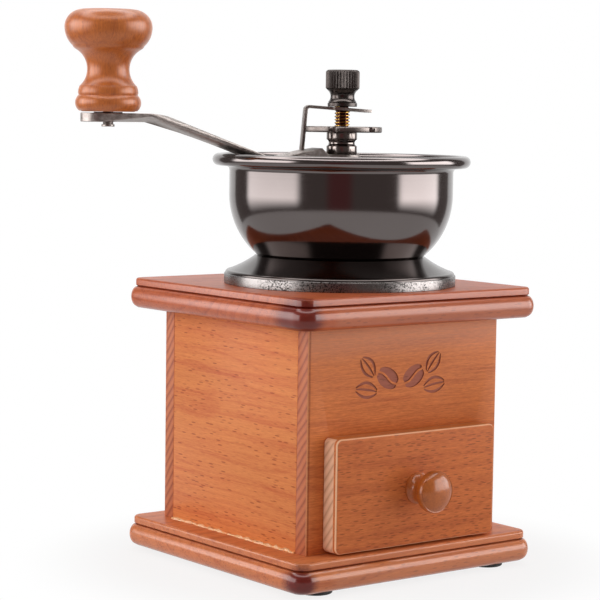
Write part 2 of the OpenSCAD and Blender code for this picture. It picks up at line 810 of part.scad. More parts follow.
module drawer_knob_screw() {
    head_r = 3.4;
    head_h = 2;
    tip_gap = 0.7;
    color("silver") translate([0, front_back, pull_z]) rotate([-90, 0, 0])
        screw(head_r, head_h, pull_hole_r, front_t + pull_hole_l - tip_gap);
}

base_plate();
feet();
front_board();
back_board();
side_board(-1);  // left_board
side_board(1);  // right_board
drawer_rails();
top_plate();
base_ring();
hopper_skirt();
hopper_bowl();
outer_burr();
lower_guide();
guide_screws();
bearing_bridge();
bridge_bush();
hopper_screws();
shaft();
inner_burr();
burr_nut();
burr_spring();
spring_cup();
thrust_washer();
crank_arm();
knob_bolt();
knob_washer();
crank_knob();
adjusting_wheel();
stopper_bracket();
lock_nut();
drawer_front();
drawer_side(-1);  // drawer_left
drawer_side(1);  // drawer_right
drawer_back();
drawer_bottom();
drawer_knob();
drawer_knob_screw();
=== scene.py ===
"""Burr coffee grinder: the finishes, fine shapes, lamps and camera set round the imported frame."""

import logging
import math
from dataclasses import dataclass, replace
from enum import Enum
from typing import Any, Callable, ClassVar, Sequence

import bpy
from mathutils import Matrix, Vector


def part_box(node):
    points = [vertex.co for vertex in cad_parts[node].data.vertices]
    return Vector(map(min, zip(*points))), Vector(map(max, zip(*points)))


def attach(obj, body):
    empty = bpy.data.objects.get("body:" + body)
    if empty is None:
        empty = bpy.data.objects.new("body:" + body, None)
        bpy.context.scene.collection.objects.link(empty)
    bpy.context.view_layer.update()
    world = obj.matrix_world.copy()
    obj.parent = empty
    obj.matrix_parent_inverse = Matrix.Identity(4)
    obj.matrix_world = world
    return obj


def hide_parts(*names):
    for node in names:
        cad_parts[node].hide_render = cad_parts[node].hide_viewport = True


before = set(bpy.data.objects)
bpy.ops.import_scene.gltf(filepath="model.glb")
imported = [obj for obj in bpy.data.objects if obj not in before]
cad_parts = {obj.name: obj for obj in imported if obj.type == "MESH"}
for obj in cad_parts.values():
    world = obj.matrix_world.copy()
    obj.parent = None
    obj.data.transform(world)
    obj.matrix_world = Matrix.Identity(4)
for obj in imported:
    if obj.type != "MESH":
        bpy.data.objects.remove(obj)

LOG = logging.getLogger("grinder")

RGB = tuple[float, float, float]
Point = tuple[float, float]
Place = tuple[float, float, float]

MM = 0.001  # a millimetre in metres
FAR = 1000.0  # a limit that nothing reaches, in millimetres
OPEN_LOW = (-FAR, -FAR, -FAR)
OPEN_HIGH = (FAR, FAR, FAR)
UPRIGHT = (0, 0, 1)
ORIGIN = (0, 0, 0)
FULL_TURN = 2 * math.pi
QUARTER_TURN = math.pi / 2
WHITE = (1.0, 1.0, 1.0)


def srgb(red: int, green: int, blue: int) -> RGB:
    """Turns a colour from 0 to 255 as a screen shows it into the linear values of a shader.

    Args:
        red: red, 0 to 255.
        green: green, 0 to 255.
        blue: blue, 0 to 255.

    Returns:
        The linear colour.
    """

    def linear(value: int) -> float:
        """Undoes the screen's standard curve for one channel."""
        part = value / 255
        return part / 12.92 if part <= 0.04045 else ((part + 0.055) / 1.055) ** 2.4

    return (linear(red), linear(green), linear(blue))


# ---------------------------------------------------------------- shader graphs


class Wire:
    """One value in a shader graph. Python's operators on it add Math nodes."""

    def __init__(self, graph: "Graph", socket: bpy.types.NodeSocket) -> None:
        """Keeps the graph and the socket that gives the value."""
        self.graph = graph
        self.socket = socket

    def math(self, operation: str, *others: "Wire | float", clamp: bool = False) -> "Wire":
        """Adds a Math node with this value first.

        Args:
            operation: the Math node's operation.
            others: the other operands.
            clamp: whether the result is held between 0 and 1.

        Returns:
            The result.
        """
        settings = {"operation": operation, "use_clamp": clamp}
        return self.graph.node("ShaderNodeMath", settings, dict(enumerate((self, *others))))

    def __add__(self, other: "Wire | float") -> "Wire":
        """Adds."""
        return self.math("ADD", other)

    __radd__ = __add__

    def __sub__(self, other: "Wire | float") -> "Wire":
        """Subtracts the other from this."""
        return self.math("SUBTRACT", other)

    def __rsub__(self, other: float) -> "Wire":
        """Subtracts this from the other."""
        return self.graph.number(other).math("SUBTRACT", self)

    def __mul__(self, other: "Wire | float") -> "Wire":
        """Multiplies."""
        return self.math("MULTIPLY", other)

    __rmul__ = __mul__

    def __truediv__(self, other: "Wire | float") -> "Wire":
        """Divides this by the other."""
        return self.math("DIVIDE", other)

    def __pow__(self, other: "Wire | float") -> "Wire":
        """Raises this to a power."""
        return self.math("POWER", other)

    def clamp(self) -> "Wire":
        """Holds the value between 0 and 1."""
        return self.math("ADD", 0.0, clamp=True)

    def maximum(self, other: "Wire | float") -> "Wire":
        """Gives the larger of two values."""
        return self.math("MAXIMUM", other)

    def step(self, low: float, high: float) -> "Wire":
        """Rises smoothly from 0 at low to 1 at high.

        Args:
            low: the value that gives 0.
            high: the value that gives 1; it may be the smaller one.

        Returns:
            The smooth step.
        """
        if low > high:
            return 1 - self.step(high, low)
        settings = {"interpolation_type": "SMOOTHSTEP"}
        inputs = {"Value": self, "From Min": low, "From Max": high}
        return self.graph.node("ShaderNodeMapRange", settings, inputs)


def distance(*parts: Wire) -> Wire:
    """Gives the length of a vector.

    Args:
        parts: the vector's parts.

    Returns:
        Its length.
    """
    total = parts[0] * parts[0]
    for part in parts[1:]:
        total = total + part * part
    return total**0.5


class Graph:
    """A node tree under construction, for a material or the world."""

    def __init__(self, tree: bpy.types.NodeTree) -> None:
        """Empties the tree."""
        self.tree = tree
        tree.nodes.clear()

    def node(
        self,
        kind: str,
        settings: dict[str, Any] | None = None,
        inputs: dict[int | str, Any] | None = None,
        out: int | str = 0,
    ) -> Wire:
        """Adds a node.

        Args:
            kind: the node's type.
            settings: its own settings, with "stops" for the stops of a colour ramp.
            inputs: a value or a Wire for each socket, by its name or number.
            out: the output that is given back.

        Returns:
            That output.
        """
        made = self.tree.nodes.new(kind)
        for key, value in (settings or {}).items():
            if key == "stops":
                self._set_stops(made.color_ramp, value)
            else:
                setattr(made, key, value)
        for key, value in (inputs or {}).items():
            if isinstance(value, Wire):
                self.tree.links.new(value.socket, made.inputs[key])
            elif isinstance(value, tuple) and made.inputs[key].type == "RGBA":
                made.inputs[key].default_value = (*value, 1.0)[:4]
            else:
                made.inputs[key].default_value = value
        return Wire(self, made.outputs[out]) if made.outputs else Wire(self, None)

    @staticmethod
    def _set_stops(ramp: bpy.types.ColorRamp, stops: Sequence[tuple[float, float]]) -> None:
        """Sets a ramp's stops.

        Args:
            ramp: the ramp.
            stops: the place and the grey value of each stop.
        """
        while len(ramp.elements) > 1:
            ramp.elements.remove(ramp.elements[-1])
        for index, (place, grey) in enumerate(stops):
            element = ramp.elements[0] if index == 0 else ramp.elements.new(place)
            element.position = place
            element.color = (grey, grey, grey, 1.0)

    def number(self, value: float) -> Wire:
        """Gives a plain number as a Wire.

        Args:
            value: the number.

        Returns:
            The number, from a node of its own.
        """
        made = self.tree.nodes.new("ShaderNodeValue")
        made.outputs[0].default_value = value
        return Wire(self, made.outputs[0])

    def xyz(self, vector: Wire) -> tuple[Wire, Wire, Wire]:
        """Splits a vector.

        Args:
            vector: the vector.

        Returns:
            Its three parts.
        """
        first = self.node("ShaderNodeSeparateXYZ", inputs={0: vector})
        outputs = first.socket.node.outputs
        return tuple(Wire(self, outputs[i]) for i in range(3))

    def join(self, x: Wire | float, y: Wire | float, z: Wire | float) -> Wire:
        """Makes a vector of three values."""
        return self.node("ShaderNodeCombineXYZ", inputs={0: x, 1: y, 2: z})

    def mix(
        self, factor: Wire | float, low: Wire | RGB, high: Wire | RGB, blend: str = "MIX"
    ) -> Wire:
        """Mixes two colours.

        Args:
            factor: 0 gives low, 1 gives high.
            low: the first colour.
            high: the second colour.
            blend: the Mix node's blend type.

        Returns:
            The mixed colour.
        """
        settings = {"data_type": "RGBA", "blend_type": blend}
        return self.node("ShaderNodeMix", settings, {0: factor, 6: low, 7: high}, out=2)

    def noise(self, vector: Wire, scale: float, detail: float = 2.0, rough: float = 0.5) -> Wire:
        """Gives soft noise about 0.5."""
        inputs = {"Vector": vector, "Scale": scale, "Detail": detail, "Roughness": rough}
        return self.node("ShaderNodeTexNoise", {"noise_dimensions": "3D"}, inputs)

    def ramp(self, stops: Sequence[Point], value: Wire) -> Wire:
        """Sends a value through a grey ramp, given by the place and the grey of each stop."""
        return self.node("ShaderNodeValToRGB", {"stops": stops}, {0: value})

    def place_mm(self) -> tuple[Wire, Wire, Wire]:
        """Gives a point's own place in millimetres.

        Returns:
            Its x, y and z.
        """
        coords = self.node("ShaderNodeTexCoord", out="Object")
        x, y, z = self.xyz(coords)
        return x / MM, y / MM, z / MM

    def bump(self, height: Wire, distance_mm: float, strength: float = 1.0) -> Wire:
        """Turns a height from 0 to 1 into a bumped normal."""
        inputs = {"Strength": strength, "Distance": distance_mm * MM, "Height": height}
        return self.node("ShaderNodeBump", inputs=inputs)

    def output(self, shader: Wire, kind: str = "ShaderNodeOutputMaterial") -> None:
        """Ends the graph with a shader."""
        self.node(kind, inputs={"Surface": shader})


def new_material(name: str) -> tuple[bpy.types.Material, Graph]:
    """Adds an empty material.

    Args:
        name: its name.

    Returns:
        The material and its graph.
    """
    material = bpy.data.materials.new(name)
    material.use_nodes = True
    return material, Graph(material.node_tree)


# ---------------------------------------------------------------- finishes


class Grain(Enum):
    """The axis that the wood's grain runs along."""

    X = (0, 1, 2)
    Y = (1, 2, 0)
    Z = (2, 0, 1)


@dataclass(frozen=True)
class Scorch:
    """A rounded patch of darker stain on a wooden piece, in millimetres."""

    BREAKUP: ClassVar[float] = 0.5
    FULL_WITHIN: ClassVar[float] = 0.5

    centre: Place
    reach: Place
    colour: RGB
    strength: float
    lines: RGB | None = None

    def mask(self, place: tuple[Wire, Wire, Wire], breakup: Wire) -> Wire:
        """Gives how much of the dark stain a point takes.

        Args:
            place: the point's place in millimetres.
            breakup: noise about 0.5 that makes the patch's border uneven.

        Returns:
            0 outside the patch, up to its strength inside.
        """
        away = distance(*((p - c) / r for p, c, r in zip(place, self.centre, self.reach)))
        ragged = away + (breakup - 0.5) * self.BREAKUP
        return ragged.step(1.0, self.FULL_WITHIN) * self.strength


@dataclass(frozen=True)
class Tone:
    """A box of a wooden piece that takes another colour, in millimetres. Some boxes give the wood's
    own tones, and others paint a sheen, a highlight or shade.
    """

    LEAST: ClassVar[float] = 0.6
    BREAKUP: ClassVar[float] = 0.8

    low: Place
    high: Place
    colour: RGB
    strength: float
    soft: float = 0.15
    lines: RGB | None = None

    def mask(self, place: tuple[Wire, Wire, Wire], breakup: Wire) -> Wire:
        """Gives how much of the tone a point takes.

        Args:
            place: the point's place in millimetres.
            breakup: noise about 0.5 that makes the tone uneven.

        Returns:
            0 outside the box, up to its strength inside.
        """
        mask = breakup * self.BREAKUP + self.LEAST
        for p, low, high in zip(place, self.low, self.high):
            if low > -FAR:
                mask = mask * p.step(low - self.soft, low + self.soft)
            if high < FAR:
                mask = mask * p.step(high + self.soft, high - self.soft)
        return (mask * self.strength).clamp()

    def at_ends(self, left: float, right: float) -> tuple["Tone", "Tone"]:
        """Keeps only the left and right ends of the tone's box.

        Args:
            left: where the left end stops, in millimetres.
            right: where the right end starts.

        Returns:
            The left end's tone and the right end's.
        """
        return (
            replace(self, high=(left, *self.high[1:])),
            replace(self, low=(right, *self.low[1:])),
        )


@dataclass(frozen=True)
class Figure:
    """Noise drawn out along the grain: its scales for each millimetre, detail and roughness."""

    along: float
    across: float
    detail: float
    rough: float = 0.5

    def draw(self, graph: Graph, grain: Sequence[Wire]) -> Wire:
        """Adds the noise to a graph.

        Args:
            graph: the graph.
            grain: the place along the grain, across it and in the third direction.

        Returns:
            Noise about 0.5.
        """
        along, across, up = grain
        vector = graph.join(along * self.along, across * self.across, up * self.across)
        return graph.noise(vector, 1.0, self.detail, self.rough)


SWAY = Figure(0.010, 0.028, 2.0)
FRAY = Figure(0.05, 0.22, 3.0)
BAND = Figure(0.012, 0.30, 3.0, 0.6)
STREAK = Figure(0.045, 1.5, 4.0, 0.65)
FINE = Figure(0.28, 2.2, 3.0, 0.65)
BLOTCH = Figure(0.012, 0.03, 3.0, 0.55)


@dataclass(frozen=True)
class Finish:
    """A finish that builds a procedural material of its own."""

    name: str

    def material(self) -> bpy.types.Material:
        """Builds the material.

        Returns:
            The material, patterned in the piece's own millimetres.
        """
        material, graph = new_material(self.name)
        graph.output(graph.node("ShaderNodeBsdfPrincipled", inputs=self.sockets(graph)))
        return material

    def sockets(self, graph: Graph) -> dict[int | str, Any]:
        """Gives a value or a Wire for each socket of the shader."""
        raise NotImplementedError


@dataclass(frozen=True)
class Wood(Finish):
    """Beech with its rings, rays and flecks, bare or under stain and lacquer.

    heart is where the rings have their middle, ring_mm is how far apart they are, and fleck_mm is
    a fleck's room along and across the grain. The lacquer is worn off above dull_above.
    """

    BASE_TONE: ClassVar[float] = 0.25
    BAND_SPAN: ClassVar[Point] = (0.45, 0.75)
    BAND_STRENGTH: ClassVar[float] = 0.35
    RING_STOPS: ClassVar[tuple[Point, ...]] = ((0.0, 0.15), (0.62, 0.3), (0.9, 1.0), (1.0, 0.15))
    RING_SWAY_MM: ClassVar[float] = 16.0
    RING_FRAY_MM: ClassVar[float] = 1.6
    GROWTH_STOPS: ClassVar[tuple[Point, ...]] = (
        (0.0, 0.9), (0.18, 0.25), (0.5, 0.0), (0.78, 0.35), (1.0, 0.9)
    )
    GROWTH_MM: ClassVar[float] = 4.6
    GROWTH_SLANT: ClassVar[float] = 1.3
    GROWTH_SWAY_MM: ClassVar[float] = 9.0
    GROWTH_FRAY_MM: ClassVar[float] = 0.7
    FLECK_EDGE: ClassVar[Point] = (0.36, 0.18)
    FLECK_FRAY: ClassVar[float] = 0.2
    FLECK_CHANCE: ClassVar[Point] = (0.45, 0.72)
    WEAK_FLECK: ClassVar[float] = 0.2
    WORN_EDGE_MM: ClassVar[float] = 0.2
    COAT_WORN: ClassVar[float] = 0.75
    STREAK_ROUGH: ClassVar[float] = 0.2
    FINE_RELIEF: ClassVar[float] = 0.6
    STREAK_RELIEF: ClassVar[float] = 0.4
    FLECK_RELIEF: ClassVar[float] = 0.35
    RELIEF_MM: ClassVar[float] = 0.03
    RELIEF: ClassVar[float] = 0.5

    light: RGB
    dark: RGB
    fleck: RGB
    grain: Grain
    heart: Point = (70.0, 95.0)
    ring_mm: float = 3.1
    ring_strength: float = 0.16
    fleck_mm: Point = (4.6, 1.15)
    fleck_strength: float = 0.6
    fine_strength: float = 0.6
    streak_strength: float = 0.8
    blotch: float = 0.14
    coat: float = 0.1
    coat_roughness: float = 0.25
    roughness: float = 0.45
    gloss: float = 0.12
    dull_above: float = FAR
    patches: tuple[Scorch | Tone, ...] = ()

    def sockets(self, graph: Graph) -> dict[int | str, Any]:
        """Gives the wood's colour, sheen, lacquer and relief.

        Args:
            graph: the graph that the nodes are added to.

        Returns:
            A value or a Wire for each socket of the shader.
        """
        place = graph.place_mm()
        grain = tuple(place[axis] for axis in self.grain.value)
        figures = (SWAY, BAND, STREAK, FINE, BLOTCH)
        sway, band, streak, fine, blotch = (figure.draw(graph, grain) for figure in figures)
        fleck = self._flecks(graph, grain, fine)
        tone = self._rings(graph, grain, sway) * self.ring_strength
        tone = tone + band.step(*self.BAND_SPAN) * self.BAND_STRENGTH + self.BASE_TONE
        tone = tone + (streak - 0.5) * self.streak_strength + (fine - 0.5) * self.fine_strength
        colour = graph.mix(tone.clamp(), self.light, self.dark)
        colour = graph.mix(fleck * self.fleck_strength, colour, self.fleck)
        shade = 1.0 + (blotch - 0.5) * (2.0 * self.blotch)
        colour = graph.mix(1.0, colour, graph.join(shade, shade, shade), "MULTIPLY")
        for patch in self.patches:
            mask = patch.mask(place, streak)
            colour = graph.mix(mask, colour, patch.colour)
            if patch.lines:
                growth = self._growth(graph, place, sway, fine)
                colour = graph.mix(mask * growth, colour, patch.lines)
        coat: Wire | float = self.coat
        if self.dull_above < FAR:
            worn = place[2].step(self.dull_above - self.WORN_EDGE_MM, self.dull_above)
            coat = (1.0 - worn * self.COAT_WORN) * self.coat
        relief = fine * self.FINE_RELIEF + streak * self.STREAK_RELIEF - fleck * self.FLECK_RELIEF
        return {
            "Base Color": colour,
            "Roughness": (streak - 0.5) * self.STREAK_ROUGH + self.roughness,
            "Specular IOR Level": self.gloss,
            "Coat Weight": coat,
            "Coat Roughness": self.coat_roughness,
            "Normal": graph.bump(relief, self.RELIEF_MM, self.RELIEF),
        }

    def _rings(self, graph: Graph, grain: Sequence[Wire], sway: Wire) -> Wire:
        """Gives the growth rings round the board's heart.

        Args:
            graph: the graph that the nodes are added to.
            grain: the place along the grain, across it and in the third direction.
            sway: broad noise that bends the rings.

        Returns:
            1 in the dark late wood, and little in the early wood.
        """
        radius = distance(grain[1] - self.heart[0], grain[2] - self.heart[1])
        fray = FRAY.draw(graph, grain)
        bent = radius + (sway - 0.5) * self.RING_SWAY_MM + (fray - 0.5) * self.RING_FRAY_MM
        return graph.ramp(self.RING_STOPS, (bent / self.ring_mm).math("FRACT"))

    def _growth(
        self, graph: Graph, place: tuple[Wire, Wire, Wire], sway: Wire, fine: Wire
    ) -> Wire:
        """Gives the slanting growth lines that show where a board is cut across its grain.

        Args:
            graph: the graph that the nodes are added to.
            place: the point's place in millimetres.
            sway: broad noise that bends the lines.
            fine: noise that frays them.

        Returns:
            Most in the dark lines and 0 in the pale early wood.
        """
        slanted = place[2] + place[1] * self.GROWTH_SLANT
        bent = slanted + (sway - 0.5) * self.GROWTH_SWAY_MM + (fine - 0.5) * self.GROWTH_FRAY_MM
        return graph.ramp(self.GROWTH_STOPS, (bent / self.GROWTH_MM).math("FRACT"))

    def _flecks(self, graph: Graph, grain: Sequence[Wire], fine: Wire) -> Wire:
        """Gives the short dark dashes of beech, a few of them strong.

        Args:
            graph: the graph that the nodes are added to.
            grain: the place along the grain, across it and in the third direction.
            fine: noise that frays the dashes.

        Returns:
            1 in the strongest dashes and 0 between them.
        """
        along, across, up = grain
        long, wide = self.fleck_mm
        inputs = {"Vector": graph.join(along / long, across / wide, up / wide), "Scale": 1.0}
        away = graph.node("ShaderNodeTexVoronoi", {"feature": "F1"}, inputs, out="Distance")
        chance = Wire(graph, away.socket.node.outputs["Color"])
        weight = chance.step(*self.FLECK_CHANCE) * (1 - self.WEAK_FLECK) + self.WEAK_FLECK
        return (away + (fine - 0.5) * self.FLECK_FRAY).step(*self.FLECK_EDGE) * weight


@dataclass(frozen=True)
class SpunMetal(Finish):
    """Plated or polished metal with the fine rings that turning or spinning leaves.

    The metal is duller by satin beyond the radius satin_beyond, and darkened by painted shade within
    the radius groove_shade_within, for a thread's grooves, both in millimetres from the shaft's
    axis. grit is how much dirt it holds.
    """

    CLOUD_SCALE: ClassVar[float] = 0.05
    SPECK_SCALE: ClassVar[float] = 1.5
    SPECK_SPAN: ClassVar[Point] = (0.46, 0.62)
    SPECK_CLOUDS: ClassVar[Point] = (0.35, 0.6)
    LINE_TWIST: ClassVar[float] = 0.6
    LINE_TINT: ClassVar[float] = 0.25
    LINE_ROUGH: ClassVar[float] = 0.10
    CLOUD_ROUGH: ClassVar[float] = 0.08
    GRIT_ROUGH: ClassVar[float] = 0.25
    GRIT_SHADE: ClassVar[float] = 0.16
    GROOVE_SHADE_EDGE_MM: ClassVar[float] = 0.15
    SATIN_EDGE_MM: ClassVar[float] = 0.3
    RELIEF: ClassVar[float] = 0.6

    colour: RGB
    tint: RGB
    roughness: float = 0.12
    ring_bump_mm: float = 0.004
    ring_scale: float = 5.0
    patchy: float = 0.25
    grit: float = 0.0
    satin_beyond: float = FAR
    satin: float = 0.22
    groove_shade_within: float = 0.0
    # the colour of the painted shade in a thread's grooves
    groove_shade: RGB = (0.05, 0.016, 0.012)

    def sockets(self, graph: Graph) -> dict[int | str, Any]:
        """Gives metal whose lines run round the upright axis.

        Args:
            graph: the graph that the nodes are added to.

        Returns:
            A value or a Wire for each socket of the shader.
        """
        x, y, z = graph.place_mm()
        reach = distance(x, y)
        turn = y.math("ARCTAN2", x) * self.LINE_TWIST
        rings = graph.join(reach * self.ring_scale, z * self.ring_scale, turn)
        lines = graph.noise(rings, 1.0, 3.0, 0.6)
        cloud = graph.noise(graph.join(x, y, z), self.CLOUD_SCALE, 3.0, 0.55)
        mixed = (cloud - 0.5) * self.patchy * 2.0 + lines * self.LINE_TINT
        colour = graph.mix(mixed, self.colour, self.tint)
        rough = self.roughness + (cloud - 0.5) * self.CLOUD_ROUGH + (lines - 0.5) * self.LINE_ROUGH
        if self.grit:
            speck = graph.noise(graph.join(x, y, z), self.SPECK_SCALE, 3.0, 0.7)
            worn = speck.step(*self.SPECK_SPAN) * cloud.step(*self.SPECK_CLOUDS) * self.grit
            colour = graph.mix(worn, colour, tuple(c * self.GRIT_SHADE for c in self.tint))
            rough = rough + worn * self.GRIT_ROUGH
        # painted shade: the thread's grooves near the axis darkened
        if self.groove_shade_within:
            edge = self.GROOVE_SHADE_EDGE_MM
            groove = reach.step(self.groove_shade_within + edge, self.groove_shade_within - edge)
            colour = graph.mix(groove, colour, self.groove_shade)
        if self.satin_beyond < FAR:
            outside = reach.step(self.satin_beyond - self.SATIN_EDGE_MM, self.satin_beyond)
            rough = rough + outside * self.satin
        return {
            "Base Color": colour,
            "Metallic": 1.0,
            "Roughness": rough,
            "Normal": graph.bump(lines, self.ring_bump_mm, self.RELIEF),
        }


@dataclass(frozen=True)
class WornPlate(Finish):
    """Aged nickel or zinc plate on stamped steel: fine scratches and cloudy wear."""

    SCRATCH_ACROSS: ClassVar[float] = 7.0
    SCRATCH_ALONG: ClassVar[float] = 0.5
    SCRATCH_DEEP: ClassVar[float] = 5.0
    SCRATCH_SPAN: ClassVar[Point] = (0.22, 0.42)
    SCRATCH_TINT: ClassVar[float] = 0.25
    CLOUD_MIDDLE: ClassVar[float] = 0.35
    CLOUD_TINT: ClassVar[float] = 1.6
    CLOUD_ROUGH: ClassVar[float] = 0.18
    CLOUD_RELIEF: ClassVar[float] = 0.7
    SCRATCH_RELIEF: ClassVar[float] = 0.3
    RELIEF_MM: ClassVar[float] = 0.03
    RELIEF: ClassVar[float] = 0.5

    colour: RGB
    worn: RGB
    roughness: float = 0.3
    scratch: float = 0.12
    cloud_scale: float = 0.16

    def sockets(self, graph: Graph) -> dict[int | str, Any]:
        """Gives plated metal with scratches that run every way.

        Args:
            graph: the graph that the nodes are added to.

        Returns:
            A value or a Wire for each socket of the shader.
        """
        x, y, z = graph.place_mm()
        across, along, deep = self.SCRATCH_ACROSS, self.SCRATCH_ALONG, self.SCRATCH_DEEP
        cloud = graph.noise(graph.join(x, y, z), self.cloud_scale, 4.0, 0.6)
        scratch_y = graph.noise(graph.join(x * across, y * along, z * across), 1.0)
        scratch_x = graph.noise(graph.join(x * along, y * across, z * deep), 1.0)
        scratch = (scratch_y * scratch_x).step(*self.SCRATCH_SPAN)
        mixed = (cloud - self.CLOUD_MIDDLE) * self.CLOUD_TINT + scratch * self.SCRATCH_TINT
        relief = cloud * self.CLOUD_RELIEF + scratch * self.SCRATCH_RELIEF
        return {
            "Base Color": graph.mix(mixed, self.colour, self.worn),
            "Metallic": 1.0,
            "Roughness": self.roughness + (cloud - 0.5) * self.CLOUD_ROUGH + scratch * self.scratch,
            "Normal": graph.bump(relief, self.RELIEF_MM, self.RELIEF),
        }


@dataclass(frozen=True)
class MouldedRubber(Finish):
    """Black rubber with a fine matt skin and a little dust."""

    SKIN_SCALE: ClassVar[float] = 2.5
    DUST_SCALE: ClassVar[float] = 0.25
    DUST_SPAN: ClassVar[Point] = (0.45, 0.8)
    DUST_MOST: ClassVar[float] = 0.5
    SKIN_ROUGH: ClassVar[float] = 0.3
    SKIN_MM: ClassVar[float] = 0.05
    RELIEF: ClassVar[float] = 0.4

    colour: RGB
    roughness: float = 0.55

    def sockets(self, graph: Graph) -> dict[int | str, Any]:
        """Gives the rubber's colour, skin and dust.

        Args:
            graph: the graph that the nodes are added to.

        Returns:
            A value or a Wire for each socket of the shader.
        """
        x, y, z = graph.place_mm()
        skin = graph.noise(graph.join(x, y, z), self.SKIN_SCALE, 3.0, 0.6)
        dust = graph.noise(graph.join(x, y, z), self.DUST_SCALE, 3.0, 0.6)
        dusty = tuple(min(1.0, c * 3.0 + 0.02) for c in self.colour)
        return {
            "Base Color": graph.mix(
                dust.step(*self.DUST_SPAN) * self.DUST_MOST, self.colour, dusty
            ),
            "Roughness": self.roughness + skin * self.SKIN_ROUGH,
            "Normal": graph.bump(skin, self.SKIN_MM, self.RELIEF),
        }


# ---------------------------------------------------------------- modelling


def arc(centre: Point, half: Point, start: float, end: float, count: int) -> list[Point]:
    """Lists points on an ellipse's arc.

    Args:
        centre: the ellipse's centre.
        half: its half-axes.
        start: the first angle, in degrees.
        end: the last angle, in degrees.
        count: how many spans the arc has.

    Returns:
        The points from start to end.
    """
    angles = [math.radians(start + (end - start) * i / count) for i in range(count + 1)]
    return [(centre[0] + half[0] * math.cos(a), centre[1] + half[1] * math.sin(a)) for a in angles]


